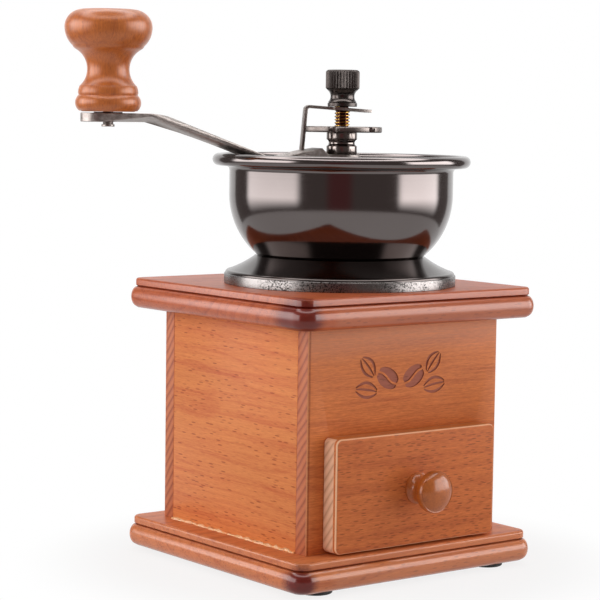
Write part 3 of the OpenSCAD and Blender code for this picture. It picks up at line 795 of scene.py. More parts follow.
class Bench:
    """The modelling steps that the pieces share."""

    SMOOTH_DEG: ClassVar[float] = 35.0
    FLAT_DEG: ClassVar[float] = 1.0
    EDGE_DEG: ClassVar[float] = 40.0
    MERGE: ClassVar[float] = 0.002 * MM

    @staticmethod
    def clear() -> None:
        """Deselects every object, so that an operator acts on the new one alone."""
        if bpy.context.object and bpy.context.object.mode != "OBJECT":
            bpy.ops.object.mode_set(mode="OBJECT")
        bpy.ops.object.select_all(action="DESELECT")

    @staticmethod
    def only(piece: bpy.types.Object) -> None:
        """Makes a piece the one that operators act on.

        Args:
            piece: the piece.
        """
        Bench.clear()
        piece.select_set(True)
        bpy.context.view_layer.objects.active = piece

    @staticmethod
    def edit(piece: bpy.types.Object) -> None:
        """Goes to edit mode on a piece with all of it selected.

        Args:
            piece: the piece.
        """
        Bench.only(piece)
        bpy.ops.object.mode_set(mode="EDIT")
        bpy.ops.mesh.select_all(action="SELECT")

    @staticmethod
    def pick(piece: bpy.types.Object, test: Callable[[Vector], bool]) -> None:
        """Selects the vertices that pass a test, and goes back to edit mode.

        Args:
            piece: the piece in edit mode.
            test: says of a vertex's place whether it is wanted.
        """
        bpy.ops.mesh.select_mode(type="VERT")
        bpy.ops.mesh.select_all(action="DESELECT")
        bpy.ops.object.mode_set(mode="OBJECT")
        for vertex in piece.data.vertices:
            vertex.select = test(vertex.co)
        bpy.ops.object.mode_set(mode="EDIT")

    @staticmethod
    def modify(piece: bpy.types.Object, kind: str, **settings: Any) -> None:
        """Adds a modifier and applies it.

        Args:
            piece: the piece that gets it.
            kind: the modifier's type.
            settings: its settings.
        """
        Bench.only(piece)
        modifier = piece.modifiers.new(kind.title(), kind)
        for key, value in settings.items():
            setattr(modifier, key, value)
        bpy.ops.object.modifier_apply(modifier=modifier.name)

    @staticmethod
    def smooth(piece: bpy.types.Object, degrees: float = SMOOTH_DEG) -> None:
        """Shades a piece smooth up to an angle."""
        Bench.only(piece)
        bpy.ops.object.shade_smooth_by_angle(angle=math.radians(degrees))

    @staticmethod
    def settle(piece: bpy.types.Object) -> None:
        """Puts a piece's place and turn into its mesh."""
        Bench.only(piece)
        bpy.ops.object.transform_apply(location=True, rotation=True, scale=True)

    @staticmethod
    def stand(piece: bpy.types.Object, node: str) -> bpy.types.Object:
        """Stands a piece on the foot of a node's box, in its middle, in place of the node.

        Args:
            piece: the piece, upright about the origin.
            node: the node.

        Returns:
            The piece.
        """
        low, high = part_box(node)
        piece.location = ((low.x + high.x) / 2, (low.y + high.y) / 2, low.z)
        Bench.settle(piece)
        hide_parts(node)
        return piece

    @staticmethod
    def lean(piece: bpy.types.Object, node: str) -> bpy.types.Object:
        """Turns a piece to face the front, with its foot at the back of a node's box.

        Args:
            piece: the piece, upright about the origin.
            node: the node that it stands for.

        Returns:
            The piece.
        """
        low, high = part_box(node)
        piece.rotation_euler = (QUARTER_TURN, 0, 0)
        piece.location = ((low.x + high.x) / 2, high.y, (low.z + high.z) / 2)
        Bench.settle(piece)
        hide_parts(node)
        return piece

    @staticmethod
    def close(piece: bpy.types.Object) -> None:
        """Merges a solid's doubles, turns its faces outwards and shades it smooth.

        Args:
            piece: the solid, in edit mode; it is left in object mode.
        """
        bpy.ops.mesh.select_all(action="SELECT")
        bpy.ops.mesh.remove_doubles(threshold=Bench.MERGE)
        bpy.ops.mesh.normals_make_consistent(inside=False)
        bpy.ops.object.mode_set(mode="OBJECT")
        Bench.smooth(piece)

    @staticmethod
    def fasten(piece: bpy.types.Object, material: bpy.types.Material, body: str, slot: str) -> None:
        """Dresses a piece and joins it to a moving body.

        Args:
            piece: the finished piece.
            material: its material.
            body: the body that it rides on.
            slot: not used.
        """
        piece.data.materials.clear()
        piece.data.materials.append(material)
        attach(piece, body)
        LOG.info("%s: %d faces on %s", piece.name, len(piece.data.polygons), body)

    @staticmethod
    def outline(name: str, points: Sequence[Point], closed: bool) -> bpy.types.Object:
        """Draws a profile in the XZ plane by extruding one vertex from point to point.

        Args:
            name: the piece's name.
            points: radius and height of each point, in millimetres.
            closed: whether the last point is joined to the first.

        Returns:
            The profile, in edit mode with all of it selected.
        """
        Bench.clear()
        bpy.ops.mesh.primitive_plane_add(size=MM, location=ORIGIN)
        piece = bpy.context.object
        piece.name = name
        Bench.edit(piece)
        bpy.ops.mesh.merge(type="CENTER")
        start = (points[0][0] * MM, 0, points[0][1] * MM)
        bpy.ops.transform.translate(value=start)
        for before, after in zip(points, points[1:]):
            step = ((after[0] - before[0]) * MM, 0, (after[1] - before[1]) * MM)
            bpy.ops.mesh.extrude_vertices_move(TRANSFORM_OT_translate={"value": step})
        if closed:
            bpy.ops.mesh.select_all(action="DESELECT")
            bpy.ops.object.mode_set(mode="OBJECT")
            for index in (0, len(points) - 1):
                piece.data.vertices[index].select = True
            bpy.ops.object.mode_set(mode="EDIT")
            bpy.ops.mesh.edge_face_add()
        bpy.ops.mesh.select_all(action="SELECT")
        return piece

    @staticmethod
    def turn(
        name: str, points: Sequence[Point], closed: bool = False, steps: int = 128
    ) -> bpy.types.Object:
        """Turns a profile round the upright axis.

        Args:
            name: the piece's name.
            points: radius and height of each point, in millimetres.
            closed: whether the profile is a closed loop; otherwise its ends lie on the axis.
            steps: faces round the piece.

        Returns:
            The turned solid, in object mode.
        """
        piece = Bench.outline(name, points, closed)
        bpy.ops.mesh.spin(steps=steps, angle=FULL_TURN, center=ORIGIN, axis=UPRIGHT)
        Bench.close(piece)
        return piece

    @staticmethod
    def ease(
        piece: bpy.types.Object, width_mm: float, segments: int = 2, harden: bool = False
    ) -> None:
        """Rounds a piece's sharp edges and shades it smooth between them.

        Args:
            piece: the piece.
            width_mm: the width of each rounded edge.
            segments: the faces across it.
            harden: whether the flat faces keep their own flat shading.
        """
        if harden:
            Bench.smooth(piece)
        Bench.modify(
            piece, "BEVEL", width=width_mm * MM, segments=segments, limit_method="ANGLE",
            angle_limit=math.radians(Bench.EDGE_DEG), use_clamp_overlap=True,
            miter_outer="MITER_ARC", harden_normals=harden,
        )
        Bench.smooth(piece)

    @staticmethod
    def copy_of(
        node: str, name: str, bevel_mm: float = 0.0, segments: int = 2
    ) -> bpy.types.Object:
        """Copies a node's shape, merges its triangles into flat faces and eases its edges.

        Args:
            node: the node that is copied.
            name: the new piece's name.
            bevel_mm: the width of the eased edges.
            segments: the faces across each eased edge.

        Returns:
            The new piece, which stands for the node.
        """
        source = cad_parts[node]
        piece = bpy.data.objects.new(name, source.data.copy())
        bpy.context.scene.collection.objects.link(piece)
        Bench.edit(piece)
        bpy.ops.mesh.customdata_custom_splitnormals_clear()
        bpy.ops.mesh.remove_doubles(threshold=Bench.MERGE)
        bpy.ops.mesh.dissolve_limited(angle_limit=math.radians(Bench.FLAT_DEG))
        bpy.ops.object.mode_set(mode="OBJECT")
        if bevel_mm:
            Bench.ease(piece, bevel_mm, segments)
        Bench.smooth(piece)
        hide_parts(node)
        return piece

    @staticmethod
    def carve(board: bpy.types.Object, cutter: bpy.types.Object, **settings: Any) -> None:
        """Cuts one piece out of another and throws the cutter away.

        Args:
            board: the piece that is cut.
            cutter: the solid that is cut out.
            settings: further settings of the Boolean modifier.
        """
        Bench.modify(
            board, "BOOLEAN", operation="DIFFERENCE", solver="EXACT", object=cutter, **settings
        )
        bpy.data.objects.remove(cutter)
        Bench.smooth(board)


# ---------------------------------------------------------------- studio


def add_lamp(
    name: str, size: Point, radiance: float, place: Vector, tint: RGB = WHITE
) -> bpy.types.Object:
    """Adds an area lamp that metal and lacquer don't mirror.

    Args:
        name: the lamp's name.
        size: its width and height, in metres.
        radiance: how bright its surface is.
        place: where it stands, in metres.
        tint: its colour.

    Returns:
        The lamp, facing down.
    """
    lamp = bpy.data.lights.new(name, "AREA")
    lamp.shape = "RECTANGLE"
    lamp.size, lamp.size_y = size
    lamp.energy = radiance * math.pi * size[0] * size[1]
    lamp.color = tint
    holder = bpy.data.objects.new(name, lamp)
    bpy.context.scene.collection.objects.link(holder)
    holder.location = place
    holder.visible_glossy = False
    return holder


@dataclass(frozen=True)
class Panel:
    """A soft box: an upright lamp that faces the grinder, and its image in polished metal.

    fade and top are the heights in the surroundings between which the image's foot and its top
    fade, from dark to bright.
    """

    name: str
    bearing_deg: float
    half_angle_deg: float
    radiance: float
    mirrored: float
    distance: float = 1.15
    tall: float = 1.1
    edge_deg: float = 5.0
    fade: Point = (-0.34, 0.06)
    top: Point = (0.5, 0.36)
    tint: RGB = (1.0, 0.98, 0.96)

    def build(self) -> None:
        """Adds the lamp, which metal and lacquer mirror as the softer image."""
        bearing = math.radians(self.bearing_deg)
        away = Vector((math.cos(bearing), math.sin(bearing), 0)) * self.distance
        wide = 2 * self.distance * math.tan(math.radians(self.half_angle_deg))
        place = away + Vector((0, 0, self.tall / 2))
        lamp = add_lamp(self.name, (wide, self.tall), self.radiance, place, self.tint)
        lamp.rotation_euler = away.to_track_quat("Z", "Y").to_euler()

    def image(self, sky: "Sky") -> Wire:
        """Gives the panel's image, with soft sides and a foot and a top that fade away.

        Args:
            sky: the directions of the surroundings.

        Returns:
            How bright the panel is in each direction.
        """
        beside = sky.within(self.bearing_deg, self.half_angle_deg, self.edge_deg)
        upright = sky.height.step(*self.fade) * sky.height.step(*self.top)
        return beside * upright * self.mirrored


@dataclass(frozen=True)
class Sky:
    """The directions in the surroundings' graph."""

    LEVEL_LEAST: ClassVar[float] = 0.001

    east: Wire
    north: Wire
    height: Wire

    def within(self, bearing_deg: float, half_deg: float, edge_deg: float) -> Wire:
        """Gives 1 inside a span of bearings and 0 outside it.

        Args:
            bearing_deg: the middle of the span, from +X towards +Y.
            half_deg: half of its width.
            edge_deg: half of the width of its soft border.

        Returns:
            The mask.
        """
        bearing = math.radians(bearing_deg)
        ahead = self.east * math.cos(bearing) + self.north * math.sin(bearing)
        facing = ahead / distance(self.east, self.north).maximum(self.LEVEL_LEAST)
        outer, inner = (math.cos(math.radians(half_deg + e)) for e in (edge_deg, -edge_deg))
        return facing.step(outer, inner)


@dataclass
class Studio:
    """The camera, the soft boxes, the pale floor and the white surroundings.

    backdrop and dark_side are spans of the surroundings: a bearing, half a width and a soft edge,
    all in degrees. Lengths are in metres where a name doesn't say otherwise. A mirrored value is
    how bright a thing looks in polished metal.
    """

    PALE_FLOOR: ClassVar[tuple[RGB, RGB]] = ((0.80, 0.80, 0.80), (0.84, 0.84, 0.84))
    FLOOR_GRAIN_SCALE: ClassVar[float] = 0.02
    CLIP: ClassVar[Point] = (0.05, 50.0)

    eye_mm: Place = (-521.594, -652.220, 180.764)
    yaw: float = 0.6555
    pitch: float = -0.0890
    roll: float = 0.0141
    lens: float = 123.93
    sensor: float = 36.0
    panels: tuple[Panel, ...] = (
        Panel("soft_box_left", 154.35, 33.0, 1.8, 5.4),
        Panel("soft_box_right", 320.35, 27.0, 1.55, 6.4),
    )
    backdrop: Place = (52.85, 39.9, 2.0)
    dark_side: Place = (230.0, 11.0, 5.0)
    dark_foot: Point = (-0.5, -0.3)
    dark_top: Point = (0.35, 0.1)
    dark_tint: RGB = (1.15, 0.42, 0.44)
    dark_mirrored: float = 0.22
    brown_tint: RGB = (1.0, 0.86, 0.83)
    brown_below: Point = (0.5, 0.2)
    ambient: float = 0.36
    overhead_size: float = 1.6
    overhead_height: float = 1.7
    overhead_radiance: float = 0.75
    band_mirrored: float = 5.0
    band_foot: Point = (0.7, 0.78)
    band_top: Point = (0.93, 0.88)
    zenith_mirrored: float = 0.4
    zenith: Point = (0.8, 0.95)
    floor_radius: float = 0.45
    floor_mirrored: float = 0.85
    shadow_mm: Point = (135.0, 80.0)
    shadow: float = 0.17

    def build(self) -> None:
        """Sets up the whole studio."""
        self._camera()
        for panel in self.panels:
            panel.build()
        size = (self.overhead_size, self.overhead_size)
        above = Vector((0, 0, self.overhead_height))
        add_lamp("overhead", size, self.overhead_radiance, above)
        self._floor()
        self._world()
        bpy.context.scene.view_settings.view_transform = "Standard"

    def _camera(self) -> None:
        """Adds the camera at the fitted place."""
        level = math.cos(self.pitch)
        forward = Vector(
            (math.sin(self.yaw) * level, math.cos(self.yaw) * level, math.sin(self.pitch))
        )
        flat = Vector((math.cos(self.yaw), -math.sin(self.yaw), 0))
        upward = flat.cross(forward)
        right = flat * math.cos(self.roll) + upward * math.sin(self.roll)
        up = upward * math.cos(self.roll) - flat * math.sin(self.roll)
        data = bpy.data.cameras.new("camera")
        data.lens = self.lens
        data.sensor_width = self.sensor
        data.clip_start, data.clip_end = self.CLIP
        camera = bpy.data.objects.new("camera", data)
        bpy.context.scene.collection.objects.link(camera)
        matrix = Matrix((right, up, -forward)).transposed().to_4x4()
        matrix.translation = Vector(self.eye_mm) * MM
        camera.matrix_world = matrix
        bpy.context.scene.camera = camera

    @staticmethod
    def _rays(graph: Graph) -> tuple[Wire, Wire]:
        """Tells apart the rays that see the surroundings.

        Args:
            graph: the graph that the nodes are added to.

        Returns:
            Whether a ray comes straight from the eye or through glass, and whether it was mirrored.
        """
        path = graph.node("ShaderNodeLightPath", out="Is Camera Ray")
        outputs = path.socket.node.outputs
        seen = path.maximum(Wire(graph, outputs["Is Transmission Ray"]))
        return seen, Wire(graph, outputs["Is Glossy Ray"])

    def _floor(self) -> None:
        """Adds the floor, which turns plain white away from the grinder's shadow."""
        Bench.clear()
        bpy.ops.mesh.primitive_circle_add(
            vertices=96, radius=self.floor_radius, fill_type="NGON", location=ORIGIN
        )
        floor = bpy.context.object
        floor.name = "floor"
        material, graph = new_material("floor_white")
        x, y, _ = graph.place_mm()
        grain = graph.noise(graph.join(x, y, 0.0), self.FLOOR_GRAIN_SCALE, 3.0)
        near = distance(x, y).step(*self.shadow_mm) * self.shadow
        seen, mirrored = self._rays(graph)
        pale = graph.mix(grain, *self.PALE_FLOOR)
        matt = graph.node("ShaderNodeBsdfDiffuse", inputs={"Color": pale})
        glow = seen + mirrored * self.floor_mirrored
        white = graph.node("ShaderNodeEmission", inputs={"Color": WHITE, "Strength": glow})
        open_floor = seen.maximum(mirrored) * (1 - near)
        graph.output(graph.node("ShaderNodeMixShader", inputs={0: open_floor, 1: matt, 2: white}))
        floor.data.materials.append(material)

    def _world(self) -> None:
        """Sets the surroundings: white to the eye, with soft boxes and a dark side to a mirror."""
        world = bpy.data.worlds.new("studio")
        world.use_nodes = True
        bpy.context.scene.world = world
        graph = Graph(world.node_tree)
        sky = Sky(*graph.xyz(graph.node("ShaderNodeTexCoord", out="Generated")))
        band = sky.height.step(*self.band_foot) * sky.height.step(*self.band_top)
        images = [panel.image(sky) for panel in self.panels]
        images += [band * self.band_mirrored, sky.height.step(*self.zenith) * self.zenith_mirrored]
        mirror = sky.within(*self.backdrop)
        for image in images:
            mirror = mirror.maximum(image)
        mirror = mirror.maximum(self.dark_mirrored)
        seen, mirrored = self._rays(graph)
        strength = seen + (1 - seen) * (mirrored * mirror + (1 - mirrored) * self.ambient)
        upright = sky.height.step(*self.dark_foot) * sky.height.step(*self.dark_top)
        warm = sky.within(*self.dark_side) * upright * mirrored
        brown = mirror.step(*self.brown_below) * mirrored
        colour = graph.mix(brown, WHITE, self.brown_tint)
        colour = graph.mix(warm, colour, self.dark_tint)
        shade = graph.node("ShaderNodeBackground", inputs={"Color": colour, "Strength": strength})
        graph.output(shade, "ShaderNodeOutputWorld")


# ---------------------------------------------------------------- the wooden case


@dataclass(frozen=True)
class Moulding:
    """A panel whose four edges follow one profile, as a router leaves them, in millimetres.

    The profile's first numbers are distances beyond the panel's half width, and so never above 0.
    """

    LEVEL_WITHIN: ClassVar[float] = 0.01

    name: str
    half: Point
    corner: float
    profile: tuple[Point, ...]
    corner_steps: int = 12

    def build(self) -> bpy.types.Object:
        """Sweeps the profile round the panel and closes both faces.

        Returns:
            The panel about the origin, its lower face at height 0.
        """
        wide, deep = ((half - self.corner) * MM for half in self.half)
        points = [(self.half[0] + inward, height) for inward, height in self.profile]
        piece = Bench.outline(self.name, points, closed=False)
        bpy.ops.transform.translate(value=(0, -deep, 0))
        corners = ((wide, deep, 0), (-wide, deep, 0), (-wide, -deep, 0), (wide, -deep, 0))
        runs = ((0, 2 * deep, 0), (-2 * wide, 0, 0), (0, -2 * deep, 0), (2 * wide, 0, 0))
        for corner, run in zip(corners, runs):
            bpy.ops.mesh.extrude_region_move(TRANSFORM_OT_translate={"value": run})
            bpy.ops.mesh.spin(
                steps=self.corner_steps, angle=-QUARTER_TURN, center=corner, axis=UPRIGHT
            )
        bpy.ops.mesh.select_all(action="SELECT")
        bpy.ops.mesh.remove_doubles(threshold=Bench.MERGE)
        for _, height in (self.profile[0], self.profile[-1]):
            Bench.pick(piece, lambda co, level=height: abs(co.z / MM - level) < self.LEVEL_WITHIN)
            bpy.ops.mesh.edge_face_add()
        Bench.close(piece)
        return piece


@dataclass(frozen=True)
class Ornament:
    """Two coffee beans with two leaves on each side, burnt into the front board.

    All of it is drawn as tapering strokes in millimetres, for the right side, and mirrored. Each
    of the leaf lines is a belly and a share of the stroke's width.
    """

    LEAF_LINES: ClassVar[tuple[Point, ...]] = ((3.1, 0.8), (0.45, 0.62), (-2.5, 0.8))
    LEAF_SHARP: ClassVar[float] = 0.8
    LEAF_INSET: ClassVar[float] = 0.05
    CREASE_WAVE: ClassVar[float] = 0.16
    CREASE_END: ClassVar[float] = 0.93
    TIP_WIDTH: ClassVar[float] = 0.28
    TAPER: ClassVar[float] = 0.6

    centre: Point = (-2.4, 79.2)
    depth: float = 0.4
    width: float = 1.45
    bean: Point = (5.9, 4.0)
    crease: float = 0.42
    bean_place: Point = (6.6, 0.6)
    bean_tilt: float = 28.0
    leaves: tuple[tuple[Point, Point], ...] = (
        ((11.4, -4.6), (23.2, -2.8)),
        ((13.3, 1.4), (20.2, 9.4)),
    )
    spans: int = 18

    def _turned(self, point: Point, side: int) -> Point:
        """Tilts a point of a bean and moves it to its side of the middle.

        Args:
            point: the point, with the bean's length along the first axis.
            side: 1 on the right and -1 on the left.

        Returns:
            The point on the board.
        """
        tilt = math.radians(self.bean_tilt)
        u = point[0] * math.cos(tilt) - point[1] * math.sin(tilt) + self.bean_place[0]
        v = point[0] * math.sin(tilt) + point[1] * math.cos(tilt) + self.bean_place[1]
        return (side * u, v)

    def _bean(self, side: int) -> list[list[Point]]:
        """Lists the outlines of a bean's two halves, which leave its crease between them.

        Args:
            side: 1 on the right and -1 on the left.

        Returns:
            The two closed outlines.
        """
        wide, tall = self.bean
        places = [1 - 2 * i / self.spans for i in range(self.spans + 1)]
        wave = [tall * self.CREASE_WAVE * math.sin(math.pi * t) for t in places]
        halves = []
        for way in (1, -1):
            edge = [(wide * t, way * tall * math.sqrt(max(0.0, 1 - t * t))) for t in places[1:-1]]
            crease = [(wide * t, bend + way * self.crease) for t, bend in zip(places, wave)]
            inner = [c for c in crease if abs(c[0]) < wide * self.CREASE_END]
            halves.append([self._turned(point, side) for point in edge + inner[::-1]])
        return halves

    def _leaf(self, side: int, start: Point, end: Point) -> list[list[Point]]:
        """Lists the strokes of a leaf's two edges and its rib.

        Args:
            side: 1 on the right and -1 on the left.
            start: the leaf's stalk end.
            end: its tip.

        Returns:
            The three closed outlines.
        """
        run = Vector(end) - Vector(start)
        across = Vector((-run.y, run.x)).normalized()
        strokes = []
        for belly, share in self.LEAF_LINES:
            path = []
            for i in range(self.spans + 1):
                t = self.LEAF_INSET + (1 - 2 * self.LEAF_INSET) * i / self.spans
                swell = across * belly * math.sin(math.pi * t) ** self.LEAF_SHARP
                place = Vector(start) + run * t + swell
                path.append((side * place.x, place.y))
            strokes.append(self._ribbon(path, self.width * share))
        return strokes

    def _ribbon(self, path: list[Point], width: float) -> list[Point]:
        """Widens a path into the outline of a stroke that tapers at both ends.

        Args:
            path: the stroke's middle line.
            width: its width halfway along.

        Returns:
            The closed outline.
        """
        left, right = [], []
        last = len(path) - 1
        for i, (u, v) in enumerate(path):
            before, after = path[max(i - 1, 0)], path[min(i + 1, last)]
            along = Vector((after[0] - before[0], after[1] - before[1])).normalized()
            full = math.sin(math.pi * i / last) ** self.TAPER
            swell = width / 2 * (self.TIP_WIDTH + (1 - self.TIP_WIDTH) * full)
            left.append((u - along.y * swell, v + along.x * swell))
            right.append((u + along.y * swell, v - along.x * swell))
        return left + right[::-1]

    def cutter(self, face_y: float) -> bpy.types.Object:
        """Makes the solid that is cut out of the board.

        Args:
            face_y: where the board's front face is, in metres.

        Returns:
            All strokes as one piece that stands half in the board.
        """
        strokes = []
        for side in (-1, 1):
            leaves = [stroke for ends in self.leaves for stroke in self._leaf(side, *ends)]
            for outline in (*self._bean(side), *leaves):
                placed = [(u + self.centre[0], v + self.centre[1]) for u, v in outline]
                stroke = Bench.outline(f"stroke_{len(strokes)}", placed, closed=True)
                bpy.ops.mesh.edge_face_add()
                step = (0, 2 * self.depth * MM, 0)
                bpy.ops.mesh.extrude_region_move(TRANSFORM_OT_translate={"value": step})
                bpy.ops.mesh.select_all(action="SELECT")
                bpy.ops.mesh.normals_make_consistent(inside=False)
                bpy.ops.transform.translate(value=(0, face_y - self.depth * MM, 0))
                bpy.ops.object.mode_set(mode="OBJECT")
                strokes.append(stroke)
        Bench.clear()
        for stroke in strokes:
            stroke.select_set(True)
        bpy.context.view_layer.objects.active = strokes[0]
        bpy.ops.object.join()
        return strokes[0]

    def engrave(self, board: bpy.types.Object, burnt: bpy.types.Material) -> None:
        """Cuts the ornament into a board and darkens the cuts.

        Args:
            board: the front board, already dressed.
            burnt: the material of the cut faces.
        """
        cutter = self.cutter(min(v.co.y for v in board.data.vertices))
        cutter.data.materials.append(burnt)
        Bench.carve(board, cutter, material_mode="TRANSFER")


@dataclass
class Case:
    """The moulded plates, the boards between them, the rails, the feet and the ornament."""

    CHUTE_DEEP: ClassVar[float] = 60.0
    GROOVE_EASE: ClassVar[float] = 0.3
    GLUE_SMOOTH_DEG: ClassVar[float] = 80.0
    # how far down from the board's top the painted sheen of reflected light reaches, and how softly
    PAINTED_SHEEN_DEEP: ClassVar[float] = 9.0
    PAINTED_SHEEN_SOFT: ClassVar[float] = 8.0
    ARRIS: ClassVar[Point] = (0.05, 0.5)
    ARRIS_DEEP: ClassVar[float] = 0.45
    STAIN_TO: ClassVar[float] = 1.3
    STAIN_DEEP: ClassVar[float] = 0.3

    corner: float = 7.0
    slab: float = 3.1
    slab_in: float = 2.0
    slab_round: float = 1.0
    groove_in: float = 2.8
    bottom_in: float = 1.8
    chute: float = 24.0
    board_bevel: float = 0.35
    glue: float = 1.0
    glue_cuts: int = 84
    glue_lump: float = 2.2
    glue_swell: float = 2.1
    glue_middle: float = 0.6

    def profile(self, thick: float) -> tuple[Point, ...]:
        """Gives a plate's edge from the top down, as distances in from its round nose.

        Args:
            thick: the plate's thickness.

        Returns:
            The points of the slab, the groove and the nose.
        """
        nose, ease, round_off = thick - self.slab, self.GROOVE_EASE, self.slab_round
        upper = (-self.slab_in - round_off, thick - round_off)
        return (
            *arc(upper, (round_off, round_off), 90, 0, 6),
            (-self.slab_in, nose + ease),
            (-self.groove_in, nose - ease),
            *arc((-self.groove_in, nose / 2), (self.groove_in, nose / 2 - ease), 80, -70, 22),
            (-self.bottom_in - round_off, 0.0),
        )

    def plate(self, node: str) -> bpy.types.Object:
        """Makes one moulded plate in place of its node.

        Args:
            node: the node that it stands for.

        Returns:
            The plate, where the node is.
        """
        low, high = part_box(node)
        half = (high.x - low.x) / 2 / MM
        thick = (high.z - low.z) / MM
        piece = Moulding(f"{node}_wood", (half, half), self.corner, self.profile(thick)).build()
        return Bench.stand(piece, node)

    def glue_line(self) -> bpy.types.Object:
        """Makes the lumpy line of dried glue along the left board's foot.

        Returns:
            The bead, squeezed out between the board and the base plate.
        """
        low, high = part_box("left_board")
        Bench.clear()
        bpy.ops.mesh.primitive_cylinder_add(
            vertices=10, radius=self.glue * MM, depth=high.y - low.y,
            location=(low.x, (low.y + high.y) / 2, low.z), rotation=(QUARTER_TURN, 0, 0),
        )
        piece = bpy.context.object
        piece.name = "left_board_glue"
        Bench.settle(piece)
        Bench.edit(piece)
        for level in range(1, self.glue_cuts):
            cut_y = low.y + (high.y - low.y) * level / self.glue_cuts
            bpy.ops.mesh.select_all(action="SELECT")
            bpy.ops.mesh.bisect(plane_co=(0, cut_y, 0), plane_no=(0, 1, 0))
        bpy.ops.object.mode_set(mode="OBJECT")
        lumps = bpy.data.textures.new("glue_lumps", "CLOUDS")
        lumps.noise_scale = self.glue_lump * MM
        Bench.modify(
            piece, "DISPLACE", texture=lumps, strength=self.glue_swell * MM,
            mid_level=self.glue_middle,
        )
        Bench.smooth(piece, self.GLUE_SMOOTH_DEG)
        return piece

    @staticmethod
    def end_grain(node: str) -> tuple[Tone, Tone]:
        """Gives the tones of a board's two ends.

        Args:
            node: the board.

        Returns:
            The left end's tone and the right end's.
        """
        left, right = (corner.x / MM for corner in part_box(node))
        return END_GRAIN.at_ends(left + END_SKIN, right - END_SKIN)

    def front_wood(self) -> Wood:
        """Gives the front board's wood.

        Returns:
            The wood, with a painted sheen of reflected light under the top plate, with end grain,
            and dark beside its left arris, which is painted pale for wear and a highlight.
        """
        low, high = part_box("front_board")
        left, front, over = low.x / MM, low.y / MM, high.z / MM
        start, end = (left + part for part in self.ARRIS)
        stained = (left + self.STAIN_TO, front + self.STAIN_DEEP, FAR)
        # the left arris's box, painted pale for wear and a painted highlight
        worn = (end, front + self.ARRIS_DEEP, FAR)
        return replace(BOARD_FRONT, patches=(
            # painted sheen: reflected light painted pale over the board's top, under the top plate
            Tone((-FAR, -FAR, over - self.PAINTED_SHEEN_DEEP), OPEN_HIGH, PAINTED_SHEEN, 0.4, self.PAINTED_SHEEN_SOFT),
            *self.end_grain("front_board"),
            Tone((end, -FAR, -FAR), stained, SCORCH_AND_GROOVE_SHADE, 0.45),
            Tone((start, -FAR, -FAR), worn, ARRIS_WEAR_AND_HIGHLIGHT, 0.25, 0.1),
        ))

    def build(self) -> None:
        """Makes and dresses the case."""
        base, top = self.plate("base_plate"), self.plate("top_plate")
        Bench.clear()
        bpy.ops.mesh.primitive_cylinder_add(
            vertices=96, radius=self.chute * MM, depth=self.CHUTE_DEEP * MM,
            location=(0, 0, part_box("top_plate")[0].z),
        )
        Bench.carve(top, bpy.context.object)
        Bench.fasten(base, PLATE_BASE.material(), "case", "case_wood")
        Bench.fasten(top, PLATE_TOP.material(), "case", "case_wood")
        back = replace(BOARD_BACK, patches=self.end_grain("back_board"))
        boards = {"left_board": BOARD_LEFT, "right_board": BOARD_RIGHT, "back_board": back}
        for node, wood in boards.items():
            piece = Bench.copy_of(node, f"{node}_wood", self.board_bevel)
            Bench.fasten(piece, wood.material(), "case", "case_wood")
        front = Bench.copy_of("front_board", "front_board_wood", self.board_bevel)
        Bench.fasten(front, self.front_wood().material(), "case", "case_wood")
        Ornament().engrave(front, BURNT_WOOD.material())
        Bench.fasten(self.glue_line(), GLUE.material(), "case", "case_wood")
        rails = Bench.copy_of("drawer_rails", "drawer_rails_wood", self.board_bevel)
        Bench.fasten(rails, BARE_WOOD.material(), "case", "bare_wood")
        feet = Bench.copy_of("feet", "feet_rubber")
        Bench.fasten(feet, RUBBER.material(), "case", "foot_rubber")


# ---------------------------------------------------------------- the hopper


